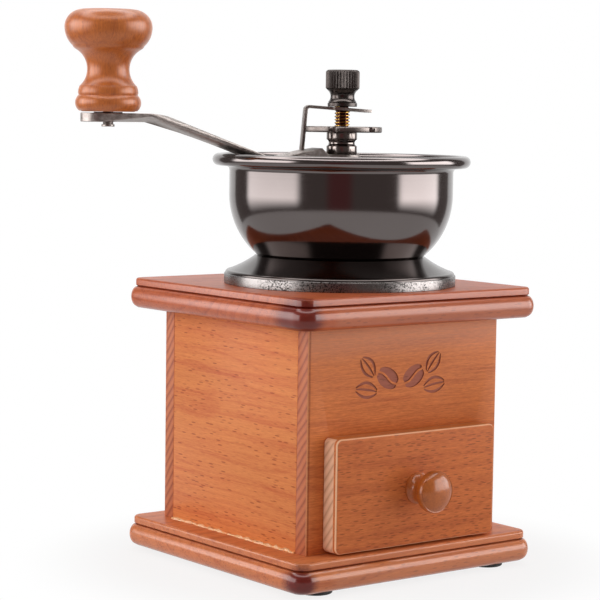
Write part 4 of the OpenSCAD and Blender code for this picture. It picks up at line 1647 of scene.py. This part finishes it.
@dataclass
class Hopper:
    """The bright ring, the dark skirt and the spun bowl with its rolled rim, in millimetres."""

    RING_EASE: ClassVar[float] = 0.45
    FOOT_EASE: ClassVar[float] = 0.15

    ring_wall: float = 2.8
    shoulder: float = 1.3
    skirt_in: float = 0.4
    waist: float = 34.4
    foot: float = 33.3
    flare: float = 42.0
    throat: float = 23.4
    sheet: float = 1.0
    curve: float = 32.0
    wall: float = 45.15
    bead: float = 2.4
    lip_flare: float = 2.0
    steps: int = 192

    def ring(self) -> bpy.types.Object:
        """Turns the bright ring that the hopper stands on.

        Returns:
            The ring.
        """
        low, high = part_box("base_ring")
        radius, tall = high.x / MM, (high.z - low.z) / MM
        inner, ease = radius - self.ring_wall, self.RING_EASE
        points = [
            (inner, 0.0),
            (radius - self.FOOT_EASE, 0.0),
            (radius, self.FOOT_EASE),
            *arc((radius - ease, tall - ease), (ease, ease), 0, 90, 5),
            (inner, tall),
        ]
        return Bench.stand(Bench.turn("base_ring_steel", points, True, self.steps), "base_ring")

    def flare_points(self, inward: float, neck: float, radius: float) -> list[Point]:
        """Lists the skirt's hollow flare from the waist down.

        Args:
            inward: how far the curve is moved in, for the sheet's inner face.
            neck: the height of the skirt's top over its foot.
            radius: the radius of the ring below it.

        Returns:
            The points of the flare.
        """
        low = Vector((radius - self.skirt_in - self.shoulder - inward, self.shoulder))
        high = Vector((self.waist - inward, neck - inward))
        half = (high - low).length / 2
        along = (high - low).normalized()
        centre = (low + high) / 2 + Vector((along.y, -along.x)) * math.sqrt(self.flare**2 - half**2)
        first = math.degrees(math.atan2(high.y - centre.y, high.x - centre.x))
        last = math.degrees(math.atan2(low.y - centre.y, low.x - centre.x))
        return arc((centre.x, centre.y), (self.flare, self.flare), first, last, 20)

    def skirt(self) -> bpy.types.Object:
        """Turns the dark skirt.

        Returns:
            The skirt.
        """
        low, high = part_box("hopper_skirt")
        neck, radius = (high.z - low.z) / MM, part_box("base_ring")[1].x / MM
        edge = radius - self.skirt_in
        points = [
            (self.throat, neck),
            *self.flare_points(0.0, neck, radius),
            *arc((edge - self.shoulder, 0.0), (self.shoulder, self.shoulder), 62, 0, 6),
            (edge - self.sheet, 0.0),
            *reversed(self.flare_points(self.sheet, neck, radius)),
            (self.throat, neck - self.sheet),
        ]
        piece = Bench.turn("hopper_skirt_nickel", points, True, self.steps)
        return Bench.stand(piece, "hopper_skirt")

    def bowl(self) -> bpy.types.Object:
        """Turns the bowl, its lip and its rolled bead.

        Returns:
            The bowl.
        """
        low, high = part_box("hopper_bowl")
        radius, rim = high.x / MM, (high.z - low.z) / MM - self.bead
        outer, inner = self.curve, self.curve - self.sheet
        middle = self.wall - outer
        rise = math.sqrt(outer**2 - (self.foot - middle) ** 2)
        outer_foot = math.degrees(math.asin(-rise / outer))
        inner_foot = math.degrees(math.asin((self.sheet - rise) / inner))
        bend = (self.wall + self.lip_flare, rim - self.bead - self.lip_flare)
        join = 180 + math.degrees(math.asin((self.bead - self.sheet) / self.bead))
        wide, tight = self.lip_flare, self.lip_flare + self.sheet
        points = [
            (self.throat, 0.0),
            *arc((middle, rise), (outer, outer), outer_foot, 0, 40),
            *arc(bend, (wide, wide), 180, 90, 10),
            *arc((radius - self.bead, rim), (self.bead, self.bead), -90, join, 32),
            *arc(bend, (tight, tight), 90, 180, 10),
            *arc((middle, rise), (inner, inner), 0, inner_foot, 40),
            (self.throat, self.sheet),
        ]
        piece = Bench.turn("hopper_bowl_nickel", points, True, self.steps)
        return Bench.stand(piece, "hopper_bowl")

    def build(self) -> None:
        """Makes and dresses the hopper."""
        Bench.fasten(self.ring(), BRIGHT_RING.material(), "case", "bright_steel")
        Bench.fasten(self.skirt(), SKIRT_NICKEL.material(), "case", "dark_nickel")
        Bench.fasten(self.bowl(), BLACK_NICKEL.material(), "case", "dark_nickel")


# ---------------------------------------------------------------- the burrs and the shaft


@dataclass
class Grinding:
    """The burrs, the bridge, the bush, the spring and the shaft, in millimetres.

    The thread's ridge starts and ends at parts of its pitch, and sinks a little into the shaft.
    """

    RIDGE_SUNK: ClassVar[float] = 0.2
    RIDGE_CREST_IN: ClassVar[float] = 0.06
    RIDGE_CREST: ClassVar[Point] = (0.42, 0.55)
    RIDGE_END: ClassVar[float] = 0.97
    SPRING_SMOOTH_DEG: ClassVar[float] = 60.0

    pitch: float = 1.27
    crest: float = 3.175
    thread_depth: float = 0.65
    thread_steps: int = 40
    wire: float = 0.7
    coil: float = 5.9
    coil_turns: int = 6
    coil_steps: int = 48
    shaft_bevel: float = 0.1
    bridge_bevel: float = 0.4
    clearance: float = 0.1
    core: float = 2.0

    def dress_nodes(self) -> None:
        """Gives the plain inner nodes their metals."""
        metals = {
            "outer_burr": BURR_IRON, "inner_burr": BURR_IRON, "lower_guide": BURR_IRON,
            "guide_screws": ZINC, "hopper_screws": ZINC, "burr_nut": ZINC, "spring_cup": ZINC,
            "thrust_washer": ZINC, "bridge_bush": BUSH_BRASS, "knob_washer": DARK_KNURL,
            "drawer_knob_screw": ZINC,
        }
        made = {finish.name: finish.material() for finish in dict.fromkeys(metals.values())}
        for node, finish in metals.items():
            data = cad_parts[node].data
            data.materials.clear()
            data.materials.append(made[finish.name])

    def spring(self) -> bpy.types.Object:
        """Winds the spring with a screw modifier.

        Returns:
            The spring.
        """
        low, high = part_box("burr_spring")
        height = (high.z - low.z) / MM - 2 * self.wire
        Bench.clear()
        bpy.ops.mesh.primitive_circle_add(
            vertices=16, radius=self.wire * MM, fill_type="NGON",
            location=(self.coil * MM, 0, low.z + self.wire * MM), rotation=(QUARTER_TURN, 0, 0),
        )
        piece = bpy.context.object
        piece.name = "burr_spring_wire"
        Bench.settle(piece)
        Bench.modify(
            piece, "SCREW", angle=FULL_TURN, screw_offset=height / self.coil_turns * MM, axis="Z",
            iterations=self.coil_turns, steps=self.coil_steps, render_steps=self.coil_steps,
            use_merge_vertices=True,
        )
        Bench.smooth(piece, self.SPRING_SMOOTH_DEG)
        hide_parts("burr_spring")
        return piece

    def shaft(self) -> bpy.types.Object:
        """Copies the shaft and cuts its thread as a ridge wound up the top.

        Returns:
            The threaded shaft.
        """
        start, end = (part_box(node)[i].z / MM for node, i in (("adjusting_wheel", 0), ("shaft", 1)))
        root = self.crest - self.thread_depth
        shrink = root / self.crest
        above, beyond = (start - self.clearance) * MM, self.core * MM
        piece = Bench.copy_of("shaft", "shaft_steel", self.shaft_bevel)
        Bench.edit(piece)
        Bench.pick(piece, lambda co: co.z > above and co.xy.length > beyond)
        bpy.ops.transform.resize(value=(shrink, shrink, 1), center_override=ORIGIN)
        bpy.ops.object.mode_set(mode="OBJECT")
        foot, top = root - self.RIDGE_SUNK, self.crest - self.RIDGE_CREST_IN
        first, last = (share * self.pitch for share in self.RIDGE_CREST)
        profile = [(foot, 0.0), (top, first), (top, last), (foot, self.pitch * self.RIDGE_END)]
        ridge = Bench.outline("thread", profile, True)
        bpy.ops.object.mode_set(mode="OBJECT")
        ridge.location.z = start * MM
        Bench.settle(ridge)
        turns = int((end - start - self.pitch) / self.pitch)
        Bench.modify(
            ridge, "SCREW", angle=FULL_TURN, screw_offset=self.pitch * MM, axis="Z",
            iterations=turns, steps=self.thread_steps, render_steps=self.thread_steps,
            use_merge_vertices=False,
        )
        Bench.only(ridge)
        piece.select_set(True)
        bpy.context.view_layer.objects.active = piece
        bpy.ops.object.join()
        Bench.smooth(piece)
        return piece

    def build(self) -> None:
        """Makes and dresses the grinding parts."""
        self.dress_nodes()
        Bench.fasten(self.spring(), ZINC.material(), "rotor", "zinc_steel")
        Bench.fasten(self.shaft(), GOLD_ZINC.material(), "rotor", "yellow_zinc")
        bridge = Bench.copy_of("bearing_bridge", "bearing_bridge_nickel", self.bridge_bevel, 3)
        Bench.fasten(bridge, OLD_NICKEL.material(), "case", "dark_nickel")


# ---------------------------------------------------------------- the crank


@dataclass
class Crank:
    """The bent bar, the turned knob and its bolt, in millimetres."""

    BEND_WITHIN: ClassVar[float] = 0.6

    bar_bevel: float = 0.55
    bolt_bevel: float = 0.15
    bends: Point = (34.8, 75.3)
    bend_reach: float = 5.0
    bend_steps: int = 8
    bolt_hole: float = 2.05
    counterbore: float = 5.2
    counterbore_deep: float = 3.0

    def knob(self) -> bpy.types.Object:
        """Turns the wooden knob.

        Returns:
            The knob.
        """
        low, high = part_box("crank_knob")
        tall, deep = (high.z - low.z) / MM, self.counterbore_deep
        foot = [(self.bolt_hole, 0.0), (10.2, 0.0), (10.6, 0.25)]
        ring = [*arc((8.8, 3.4), (4.0, 4.0), -52, 43, 18), (11.45, 6.35)]
        neck = [
            *arc((8.9, 7.0), (2.8, 4.6), 2, 40, 6),
            *arc((17.0, 16.4), (8.8, 8.8), 228, 118, 26),
        ]
        shoulder = [(13.5, 24.7), (14.1, 25.7)]
        head = [
            *arc((8.0, 32.6), (9.0, 9.5), -47, 0, 14),
            *arc((9.8, 32.6), (7.2, 6.8), 6, 90, 18),
        ]
        socket = [
            (self.counterbore + 0.3, tall),
            (self.counterbore, tall - 0.3),
            (self.counterbore, tall - deep),
            (self.bolt_hole, tall - deep),
        ]
        points = foot + ring + neck + shoulder + head + socket
        return Bench.stand(Bench.turn("crank_knob_wood", points, True), "crank_knob")

    def bar(self) -> bpy.types.Object:
        """Copies the bar and rounds its two bends and its edges.

        Returns:
            The bar.
        """
        low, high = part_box("crank_knob")
        along = Vector(((low.x + high.x) / 2, (low.y + high.y) / 2)).normalized()

        def bent(co: Vector) -> bool:
            """Says whether a vertex lies on one of the bends."""
            reach = co.xy.dot(along) / MM
            return min(abs(reach - bend) for bend in self.bends) < self.BEND_WITHIN

        piece = Bench.copy_of("crank_arm", "crank_arm_nickel")
        Bench.edit(piece)
        Bench.pick(piece, bent)
        bpy.ops.mesh.select_mode(type="EDGE")
        bpy.ops.mesh.bevel(
            offset=self.bend_reach * MM, segments=self.bend_steps, affect="EDGES"
        )
        bpy.ops.mesh.select_mode(type="VERT")
        bpy.ops.object.mode_set(mode="OBJECT")
        Bench.ease(piece, self.bar_bevel, 3, harden=True)
        return piece

    def build(self) -> None:
        """Makes and dresses the crank."""
        Bench.fasten(self.bar(), CRANK_NICKEL.material(), "rotor", "satin_nickel")
        bolt = Bench.copy_of("knob_bolt", "knob_bolt_nickel", self.bolt_bevel)
        Bench.fasten(bolt, OLD_NICKEL.material(), "rotor", "satin_nickel")
        Bench.fasten(self.knob(), KNOB_WOOD.material(), "knob", "turned_wood")


# ---------------------------------------------------------------- the adjuster


@dataclass
class Adjuster:
    """The notched wheel, the stopper and the knurled nut, in millimetres.

    Each rib of the nut's knurl has four steps round the nut, from 0 on its crest: the second is
    its groove, and the first and third are its flanks.
    """

    GROOVE_STEPS: ClassVar[tuple[int, ...]] = (2,)
    FLANK_STEPS: ClassVar[tuple[int, ...]] = (1, 3)
    FLANK_SHARE: ClassVar[float] = 0.42
    KNURL_WITHIN: ClassVar[float] = 0.5
    LEVEL_WITHIN: ClassVar[float] = 0.1
    NUT_SMOOTH_DEG: ClassVar[float] = 28.0

    ribs: int = 36
    rib_steps: int = 4
    groove: float = 0.4
    bore: float = 3.225
    bore_deep: float = 10.6
    waist: float = 4.83
    foot: float = 5.95
    head: Point = (7.4, 14.7)
    wheel_bevel: float = 0.12
    stopper_bevel: float = 0.18

    def nut(self) -> bpy.types.Object:
        """Turns the lock nut and presses the grooves of its knurl into the head.

        Returns:
            The nut.
        """
        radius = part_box("lock_nut")[1].x / MM
        under, over = self.head
        collar = [
            (self.bore, 0.0),
            (self.foot - 0.2, 0.0),
            (self.foot, 0.2),
            (self.foot, 1.4),
            (self.foot - 0.35, 1.6),
        ]
        waist = [
            *arc((self.waist + 2.6, 4.1), (2.6, 2.9), 228, 142, 12),
            (radius - 0.75, under - 0.75),
        ]
        head = [
            (radius, under),
            (radius, over - 0.9),
            (radius - 0.25, over - 0.45),
            (radius - 0.9, over),
            (0.0, over),
        ]
        bore = [(0.0, self.bore_deep), (self.bore, self.bore_deep)]
        steps = self.ribs * self.rib_steps
        piece = Bench.turn("lock_nut_nickel", collar + waist + head + bore, True, steps)
        Bench.edit(piece)
        for wanted, share in ((self.GROOVE_STEPS, 1.0), (self.FLANK_STEPS, self.FLANK_SHARE)):
            Bench.pick(piece, lambda co, among=wanted: self._knurled(co, radius, among))
            shrink = 1 - self.groove * share / radius
            bpy.ops.transform.resize(value=(shrink, shrink, 1), center_override=ORIGIN)
        bpy.ops.object.mode_set(mode="OBJECT")
        Bench.smooth(piece, self.NUT_SMOOTH_DEG)
        return Bench.stand(piece, "lock_nut")

    def _knurled(self, co: Vector, radius: float, wanted: tuple[int, ...]) -> bool:
        """Says whether a vertex lies on the nut's head, in certain steps of a rib.

        Args:
            co: the vertex, in metres, with the nut's foot at height 0.
            radius: the head's radius, in millimetres.
            wanted: the steps.

        Returns:
            Whether it does.
        """
        step = round(math.atan2(co.y, co.x) / FULL_TURN * self.ribs * self.rib_steps)
        near, above = radius - self.KNURL_WITHIN, self.head[0] - self.LEVEL_WITHIN
        outside = co.xy.length > near * MM and co.z > above * MM
        return outside and step % self.rib_steps in wanted

    def build(self) -> None:
        """Makes and dresses the adjuster."""
        wheel = Bench.copy_of("adjusting_wheel", "adjusting_wheel_nickel", self.wheel_bevel)
        Bench.fasten(wheel, SMOKED_SPOOL.material(), "rotor", "satin_nickel")
        stopper = Bench.copy_of("stopper_bracket", "stopper_bracket_nickel", self.stopper_bevel)
        Bench.fasten(stopper, OLD_NICKEL.material(), "stopper", "satin_nickel")
        Bench.fasten(self.nut(), DARK_KNURL.material(), "nut", "dark_nickel")


# ---------------------------------------------------------------- the drawer


@dataclass
class Drawer:
    """The drawer's front, its box and its turned knob, in millimetres."""

    SIDE_BEHIND: ClassVar[float] = 1.1
    SIDE_SKIN: ClassVar[float] = 0.4
    TOP_FROM: ClassVar[float] = 1.6
    TOP_SKIN: ClassVar[float] = 0.6
    ARRIS: ClassVar[Point] = (0.12, 0.1)
    ARRIS_IN: ClassVar[float] = 0.3

    front_round: float = 0.8
    front_corner: float = 2.5
    board_bevel: float = 0.3

    def front(self) -> bpy.types.Object:
        """Makes the rounded front.

        Returns:
            The front.
        """
        low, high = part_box("drawer_front")
        half = ((high.x - low.x) / 2 / MM, (high.z - low.z) / 2 / MM)
        thick = (high.y - low.y) / MM
        round_off = self.front_round
        profile = (
            *arc((-round_off, thick - round_off), (round_off, round_off), 90, 0, 10),
            (0.0, self.ARRIS_IN),
            (-self.ARRIS_IN, 0.0),
        )
        piece = Moulding("drawer_front_wood", half, self.front_corner, profile).build()
        return Bench.lean(piece, "drawer_front")

    def pull(self) -> bpy.types.Object:
        """Turns the drawer's knob and lays it towards the front.

        Returns:
            The knob.
        """
        foot = [(0.0, 0.0), (6.1, 0.0), (6.1, 0.8)]
        neck = arc((7.4, 4.6), (3.4, 4.2), 235, 140, 16)
        edge = arc((6.3, 10.2), (2.0, 2.6), -70, 40, 12)
        face = arc((0.0, 10.6), (8.0, 3.4), 20, 90, 18)
        piece = Bench.turn("drawer_knob_wood", foot + neck + edge + face, False, 96)
        return Bench.lean(piece, "drawer_knob")

    def front_wood(self) -> Wood:
        """Gives the front's wood.

        Returns:
            The wood, with its thinly stained sides, an amber top edge and an arris painted pale for
            wear and a highlight.
        """
        low, high = (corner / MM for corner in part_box("drawer_front"))
        edge = low.y + self.front_round
        behind, before = (low.y + self.ARRIS[0], edge - self.ARRIS[1])
        over = (low.x + self.TOP_FROM, edge, high.z - self.TOP_SKIN)
        sides = Tone((-FAR, edge + self.SIDE_BEHIND, -FAR), OPEN_HIGH, PALE_SIDE, 1.0, 0.3)
        lined = replace(sides, lines=SIDE_LINES)
        ends = lined.at_ends(low.x + self.SIDE_SKIN, high.x - self.SIDE_SKIN)
        top = Tone(over, OPEN_HIGH, AMBER_SIDE, 0.95)
        # wear and painted highlight: the rounded front arris painted pale
        arris = Tone((-FAR, behind, -FAR), (FAR, before, FAR), ARRIS_WEAR_AND_HIGHLIGHT, 1.0, 0.1)
        return replace(DRAWER_WOOD, patches=(sides, *ends, top, arris))

    def build(self) -> None:
        """Makes and dresses the drawer."""
        Bench.fasten(self.front(), self.front_wood().material(), "drawer", "case_wood")
        Bench.fasten(self.pull(), PULL_WOOD.material(), "drawer", "turned_wood")
        for node in ("drawer_left", "drawer_right", "drawer_back", "drawer_bottom"):
            piece = Bench.copy_of(node, f"{node}_wood", self.board_bevel)
            Bench.fasten(piece, BARE_WOOD.material(), "drawer", "bare_wood")


# ---------------------------------------------------------------- the finishes of this grinder

STAIN_LIGHT = srgb(228, 138, 78)
STAIN_DARK = srgb(200, 108, 60)
STAIN_FLECK = srgb(140, 66, 40)
# dark scorch stain for the plates' near corners and the strip beside the front board's left arris,
# and painted shade for the plates' grooves
SCORCH_AND_GROOVE_SHADE = srgb(104, 24, 14)
END_STAIN = srgb(200, 122, 90)
END_LINES = srgb(134, 66, 56)
SIDE_LINES = srgb(200, 146, 116)
# pale wear on the arrises together with a painted highlight along them
ARRIS_WEAR_AND_HIGHLIGHT = srgb(250, 200, 160)
# painted sheen: a pale colour for soft light reflected on the plates' fronts and the front board's
# top
PAINTED_SHEEN = srgb(236, 178, 146)
PALE_SIDE = srgb(244, 196, 162)
AMBER_SIDE = srgb(186, 106, 46)

END_GRAIN = Tone(OPEN_LOW, OPEN_HIGH, END_STAIN, 0.85, lines=END_LINES)
END_SKIN = 0.1

PLATE_TOP = Wood(
    "lacquered_top_plate", srgb(202, 106, 64), srgb(160, 72, 42), srgb(116, 46, 30), Grain.X,
    heart=(40.0, 150.0), ring_mm=5.0, ring_strength=0.4, fleck_strength=0.45,
    coat=0.65, coat_roughness=0.12, gloss=0.15, dull_above=112.9,
    patches=(
        # painted sheen: reflected light painted pale along the front of the plate's nose
        Tone((-44, -FAR, 101.0), (FAR, -54, 109.6), PAINTED_SHEEN, 0.22, 2.5),
        # painted shade: the groove between the slab and the nose darkened
        Tone((-FAR, -FAR, 109.7), (FAR, FAR, 110.5), SCORCH_AND_GROOVE_SHADE, 0.5, 0.15),
        Scorch((-60, -53, 106), (12, 21, 12), SCORCH_AND_GROOVE_SHADE, 0.95),
    ),
)
PLATE_BASE = Wood(
    "lacquered_base_plate", srgb(222, 134, 80), srgb(176, 88, 50), srgb(126, 56, 34), Grain.X,
    heart=(-20.0, 70.0), ring_mm=6.0, ring_strength=0.3, fleck_strength=0.45,
    coat=0.65, coat_roughness=0.14, gloss=0.15, dull_above=13.8,
    patches=(
        # painted sheen: reflected light painted pale along the front of the plate's nose
        Tone((-44, -FAR, -FAR), (FAR, -54, 10.4), PAINTED_SHEEN, 0.2, 2.5),
        # painted shade: the groove between the slab and the nose darkened
        Tone((-FAR, -FAR, 10.5), (FAR, FAR, 11.3), SCORCH_AND_GROOVE_SHADE, 0.5, 0.15),
        Scorch((-60, -56, 6), (10, 15, 11), SCORCH_AND_GROOVE_SHADE, 1.0),
    ),
)
BOARD_LEFT = Wood(
    "left_board_stain", srgb(232, 150, 88), srgb(200, 98, 62), srgb(160, 66, 44), Grain.Y,
    heart=(60.0, -80.0), ring_mm=5.0, ring_strength=0.3, fleck_mm=(5.4, 0.95), fleck_strength=0.75,
    fine_strength=1.0,
)
BOARD_RIGHT = Wood(
    "right_board_stain", STAIN_LIGHT, STAIN_DARK, STAIN_FLECK, Grain.Y, heart=(90.0, 70.0)
)
BOARD_BACK = Wood(
    "back_board_stain", STAIN_LIGHT, STAIN_DARK, STAIN_FLECK, Grain.X,
    heart=(130.0, -30.0), ring_mm=1.9,
)
BOARD_FRONT = Wood(
    "front_board_stain", srgb(222, 130, 70), srgb(172, 84, 48), srgb(112, 50, 34), Grain.X,
    heart=(40.0, -60.0), ring_mm=1.9, ring_strength=0.12,
    fleck_mm=(5.5, 0.8), fine_strength=1.3, streak_strength=1.0,
)
DRAWER_WOOD = Wood(
    "drawer_front_stain", srgb(218, 124, 68), srgb(166, 80, 44), srgb(112, 46, 32), Grain.X,
    heart=(66.0, 74.0), fleck_mm=(4.6, 0.75), fleck_strength=0.62, fine_strength=1.3,
)
BARE_WOOD = Wood(
    "bare_beech", srgb(226, 194, 150), srgb(196, 156, 110), srgb(160, 118, 78), Grain.Y,
    coat=0.0, roughness=0.65, blotch=0.1,
)
BURNT_WOOD = Wood(
    "burnt_ornament", srgb(178, 104, 82), srgb(140, 76, 62), srgb(100, 52, 42), Grain.X,
    coat=0.1, roughness=0.6,
)
GLUE = Wood(
    "dried_glue", srgb(244, 194, 140), srgb(206, 130, 76), srgb(170, 90, 50), Grain.Y,
    ring_strength=0.1, coat=0.9, coat_roughness=0.2,
)
KNOB_WOOD = Wood(
    "crank_knob_beech", srgb(208, 116, 48), srgb(150, 68, 28), srgb(120, 52, 22), Grain.Z,
    fleck_mm=(2.4, 0.7), fleck_strength=0.3, fine_strength=0.9,
    coat=0.7, coat_roughness=0.3, gloss=0.3,
)
PULL_WOOD = Wood(
    "drawer_knob_beech", srgb(192, 104, 42), srgb(142, 68, 26), srgb(112, 52, 22), Grain.Y,
    fleck_strength=0.3, coat=0.55, coat_roughness=0.12, gloss=0.2,
)
BLACK_NICKEL = SpunMetal("black_nickel", (0.152, 0.131, 0.127), (0.125, 0.104, 0.1), 0.13)
SKIRT_NICKEL = SpunMetal("dark_skirt_nickel", (0.085, 0.072, 0.068), (0.06, 0.05, 0.047), 0.18)
BRIGHT_RING = SpunMetal(
    "burnished_ring", (0.215, 0.196, 0.19), (0.13, 0.118, 0.113), 0.27, 0.02, grit=1.4
)
BUSH_BRASS = SpunMetal("turned_brass", (0.72, 0.53, 0.26), (0.55, 0.38, 0.18), 0.25)
DARK_KNURL = SpunMetal(
    "dark_knurl", (0.075, 0.064, 0.06), (0.05, 0.043, 0.04), 0.24, 0.001, 1.2, satin_beyond=6.1
)
SMOKED_SPOOL = SpunMetal(
    "smoked_spool", (0.20, 0.172, 0.16), (0.13, 0.108, 0.098), 0.17, 0.002, 2.0, satin_beyond=7.2
)
OLD_NICKEL = WornPlate("old_nickel", (0.26, 0.222, 0.205), (0.44, 0.39, 0.365), 0.3)
CRANK_NICKEL = WornPlate(
    "crank_nickel", (0.25, 0.215, 0.20), (0.56, 0.505, 0.475), 0.40, scratch=0.25, cloud_scale=0.45
)
# the thread's grooves get painted shade within 2.9 mm of the axis
GOLD_ZINC = SpunMetal(
    "yellow_zinc", (0.52, 0.31, 0.08), (0.34, 0.14, 0.05), 0.18, 0.001, 1.0, groove_shade_within=2.9
)
ZINC = WornPlate("bright_zinc", (0.62, 0.62, 0.64), (0.72, 0.72, 0.72), 0.3)
BURR_IRON = WornPlate("cast_burr_iron", (0.22, 0.22, 0.23), (0.40, 0.40, 0.41), 0.42)
RUBBER = MouldedRubber("foot_rubber", (0.012, 0.012, 0.012))


def main() -> None:
    """Builds the grinder's pieces in order."""
    logging.basicConfig(level=logging.INFO, format="%(message)s")
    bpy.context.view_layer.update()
    Studio().build()
    for part in (Case(), Hopper(), Grinding(), Crank(), Adjuster(), Drawer()):
        part.build()


if __name__ == "__main__":
    main()
